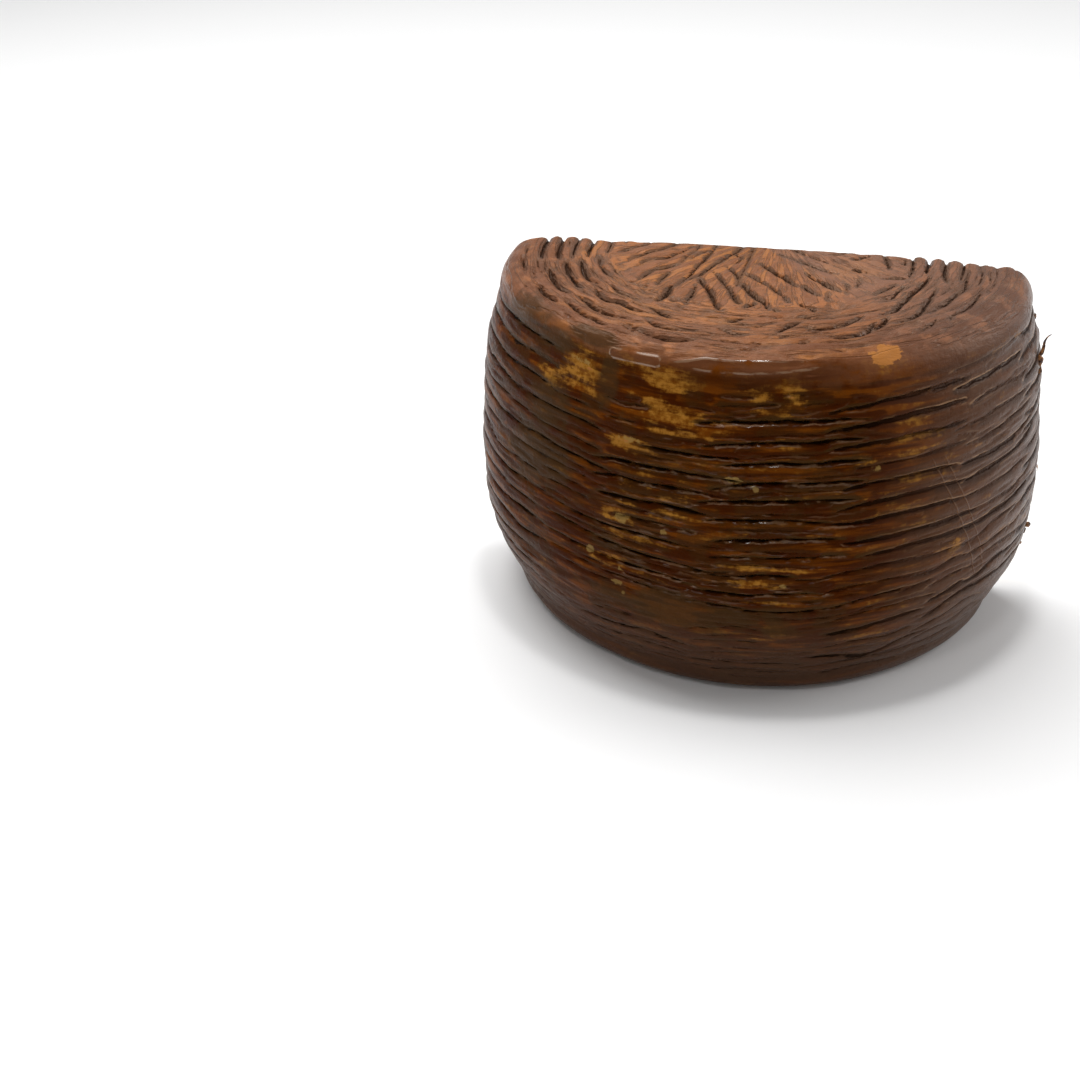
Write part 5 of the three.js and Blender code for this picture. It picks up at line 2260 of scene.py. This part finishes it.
@dataclass(frozen=True)
class PasteFinish:
    """Pale ivory paste, greyer near the rind, with an orange line under a thin dark rind."""

    mottle: Tree
    heart: Rgb = (216, 201, 152)
    outer: Rgb = (205, 194, 160)
    straw: Tint = Tint((224, 196, 120), 0.3)
    crumb: Tint = Tint((240, 234, 206), 0.6)
    orange: Rgb = (206, 128, 24)
    brown: Rgb = (70, 38, 16)
    # Depths under the skin, in millimetres, that each change of colour is eased between
    heart_depth: Span = (3.0, 17.0)
    orange_depth: Span = (1.4, 4.2)
    brown_depth: Span = (0.35, 1.1)
    waver: float = 2.4

    def build(self) -> Material:
        """Lay out the paste's nodes.

        Returns:
            The material.
        """
        paint = Surface("ivory_paste")
        depth = paint.mask(Mask.SKIN)
        broad, straw = paint.mottle(self.mottle, Scale=22.0, Low=0.5, High=0.72, Shift=2.0)
        fine, _ = paint.mottle(self.mottle, Scale=520.0, Shift=5.0)
        level = paint.shaken(depth, {"broad": broad}, broad=self.waver)
        paste = paint.mix(level.eased(*self.heart_depth), self.outer, self.heart)
        paste = paint.lay(paste, straw, self.straw)
        paste = paint.lay(paste, paint.mask(Mask.TORN), self.crumb)
        paste = paint.mix(1.0 - level.eased(*self.orange_depth), paste, self.orange)
        paste = paint.mix(1.0 - depth.eased(*self.brown_depth), paste, self.brown)
        return paint.finish({
            "Base Color": paste,
            "Roughness": fine * 0.25 + 0.4,
            "Subsurface Weight": 0.25,
            "Subsurface Radius": (0.004, 0.003, 0.0016),
            "Subsurface Scale": 1.0,
            "Specular IOR Level": 0.4,
            "Normal": paint.bump(fine, 0.25, 0.4 * MM),
        })


@dataclass(frozen=True)
class FloorFinish:
    """A plain pale studio floor."""

    pale: Rgb = (243, 243, 243)

    def build(self) -> Material:
        """Give the floor its one tone."""
        return Surface("pale_floor").finish({"Base Color": colour(self.pale), "Roughness": 0.7})


@dataclass(frozen=True)
class Lamp:
    """A soft square light: where it hangs, its side and its power in watts."""

    name: str
    place: Triple
    size: float
    power: float

    def hang(self, aim: Vector) -> None:
        """Hang the light so that it faces a place.

        Args:
            aim: The place.
        """
        lamp = bpy.data.lights.new(self.name, "AREA")
        lamp.shape = "SQUARE"
        lamp.size = self.size
        lamp.energy = self.power
        made = bpy.data.objects.new(self.name, lamp)
        made.location = self.place
        made.rotation_mode = "QUATERNION"
        made.rotation_quaternion = (aim - Vector(self.place)).to_track_quat("-Z", "Y")
        bpy.context.scene.collection.objects.link(made)


@dataclass
class Studio:
    """The floor, the lights and the camera."""

    axis: Vector
    floor_size: float = 6.0
    room_light: float = 0.35
    lamps: tuple[Lamp, ...] = (
        Lamp("overhead", (-0.42, 0.36, 1.25), 1.2, 17.0),
        Lamp("glint", (0.0, 0.0, 1.2), 0.12, 3.0),
        Lamp("right_back", (1.3, 0.6, 0.7), 0.9, 8.0),
        Lamp("front_glint", (-0.05, -0.75, 1.15), 0.2, 1.2),
    )
    aim: Triple = (0.0, 0.0, 0.06)
    focal_pixels: float = 1800.0
    image_pixels: float = 1080.0
    sensor: float = 36.0
    clip: Span = (0.01, 20.0)
    eye: Triple = (68.92, -603.84, 342.32)
    yaw: float = math.radians(-14.297)
    pitch: float = math.radians(28.741)
    roll: float = math.radians(-1.454)

    def floor(self) -> None:
        """Lay the floor."""
        bm = bmesh.new()
        bmesh.ops.create_grid(bm, x_segments=1, y_segments=1, size=self.floor_size / 2)
        made = object_from(bm, "floor")
        made.data.materials.append(FloorFinish().build())
        made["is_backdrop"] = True

    def surroundings(self) -> None:
        """Fill the room with an even pale light."""
        world = bpy.data.worlds.new("studio")
        world.use_nodes = True
        background = world.node_tree.nodes["Background"].inputs
        background["Color"].default_value = (1.0, 1.0, 1.0, 1.0)
        background["Strength"].default_value = self.room_light
        bpy.context.scene.world = world

    def camera(self) -> None:
        """Set up the camera at the photograph's angle."""
        lens = bpy.data.cameras.new("camera")
        lens.sensor_width = self.sensor
        lens.lens = self.focal_pixels / self.image_pixels * self.sensor
        lens.clip_start, lens.clip_end = self.clip
        made = bpy.data.objects.new("camera", lens)
        level = Vector((math.cos(self.yaw), -math.sin(self.yaw), 0.0))
        flat = math.cos(self.pitch)
        ahead = Vector((math.sin(self.yaw) * flat, math.cos(self.yaw) * flat, -math.sin(self.pitch)))
        above = level.cross(ahead)
        right = level * math.cos(self.roll) + above * math.sin(self.roll)
        up = above * math.cos(self.roll) - level * math.sin(self.roll)
        turn = Matrix((right, up, -ahead)).transposed().to_4x4()
        made.matrix_world = Matrix.Translation(self.axis + Vector(self.eye) * MM) @ turn
        bpy.context.scene.collection.objects.link(made)
        bpy.context.scene.camera = made

    def build(self) -> None:
        """Set up the whole studio."""
        self.floor()
        self.surroundings()
        for lamp in self.lamps:
            lamp.hang(Vector(self.aim))
        self.camera()
        bpy.context.scene.view_settings.view_transform = "Standard"


def main() -> None:
    """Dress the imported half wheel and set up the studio."""
    logging.basicConfig(level=logging.INFO, format="%(name)s: %(message)s")
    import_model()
    form = WheelForm()
    low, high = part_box(NODE)
    middle = (low.x + high.x) / 2 - (form.reach(1) - form.reach(-1)) / 2
    axis = Vector((middle, high.y, low.z))
    mottle = mottle_group()
    finishes = [RindFinish(mottle, strand_group(), axis).build(), PasteFinish(mottle).build()]
    wheel = HalfWheel(
        form=form,
        axis=axis,
        cut=CutFace(),
        side=SideBasket(form),
        top=EndBasket(form),
        base=EndBasket(form, seed=131, spread=0.8, firmness=0.7),
    )
    piece = wheel.build(finishes)
    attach(piece, BODY)
    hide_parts(NODE)
    shreds = Shreds(form, axis).build(ShredFinish(mottle).build())
    for shred in shreds:
        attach(shred, BODY)
    for made in (piece, *shreds):
        mesh = made.data
        mesh.calc_loop_triangles()
        LOG.info("%s: %d vertices, %d triangles", made.name, len(mesh.vertices), len(mesh.loop_triangles))
    Studio(axis).build()
    low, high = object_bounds()


if __name__ == "__main__":
    main()
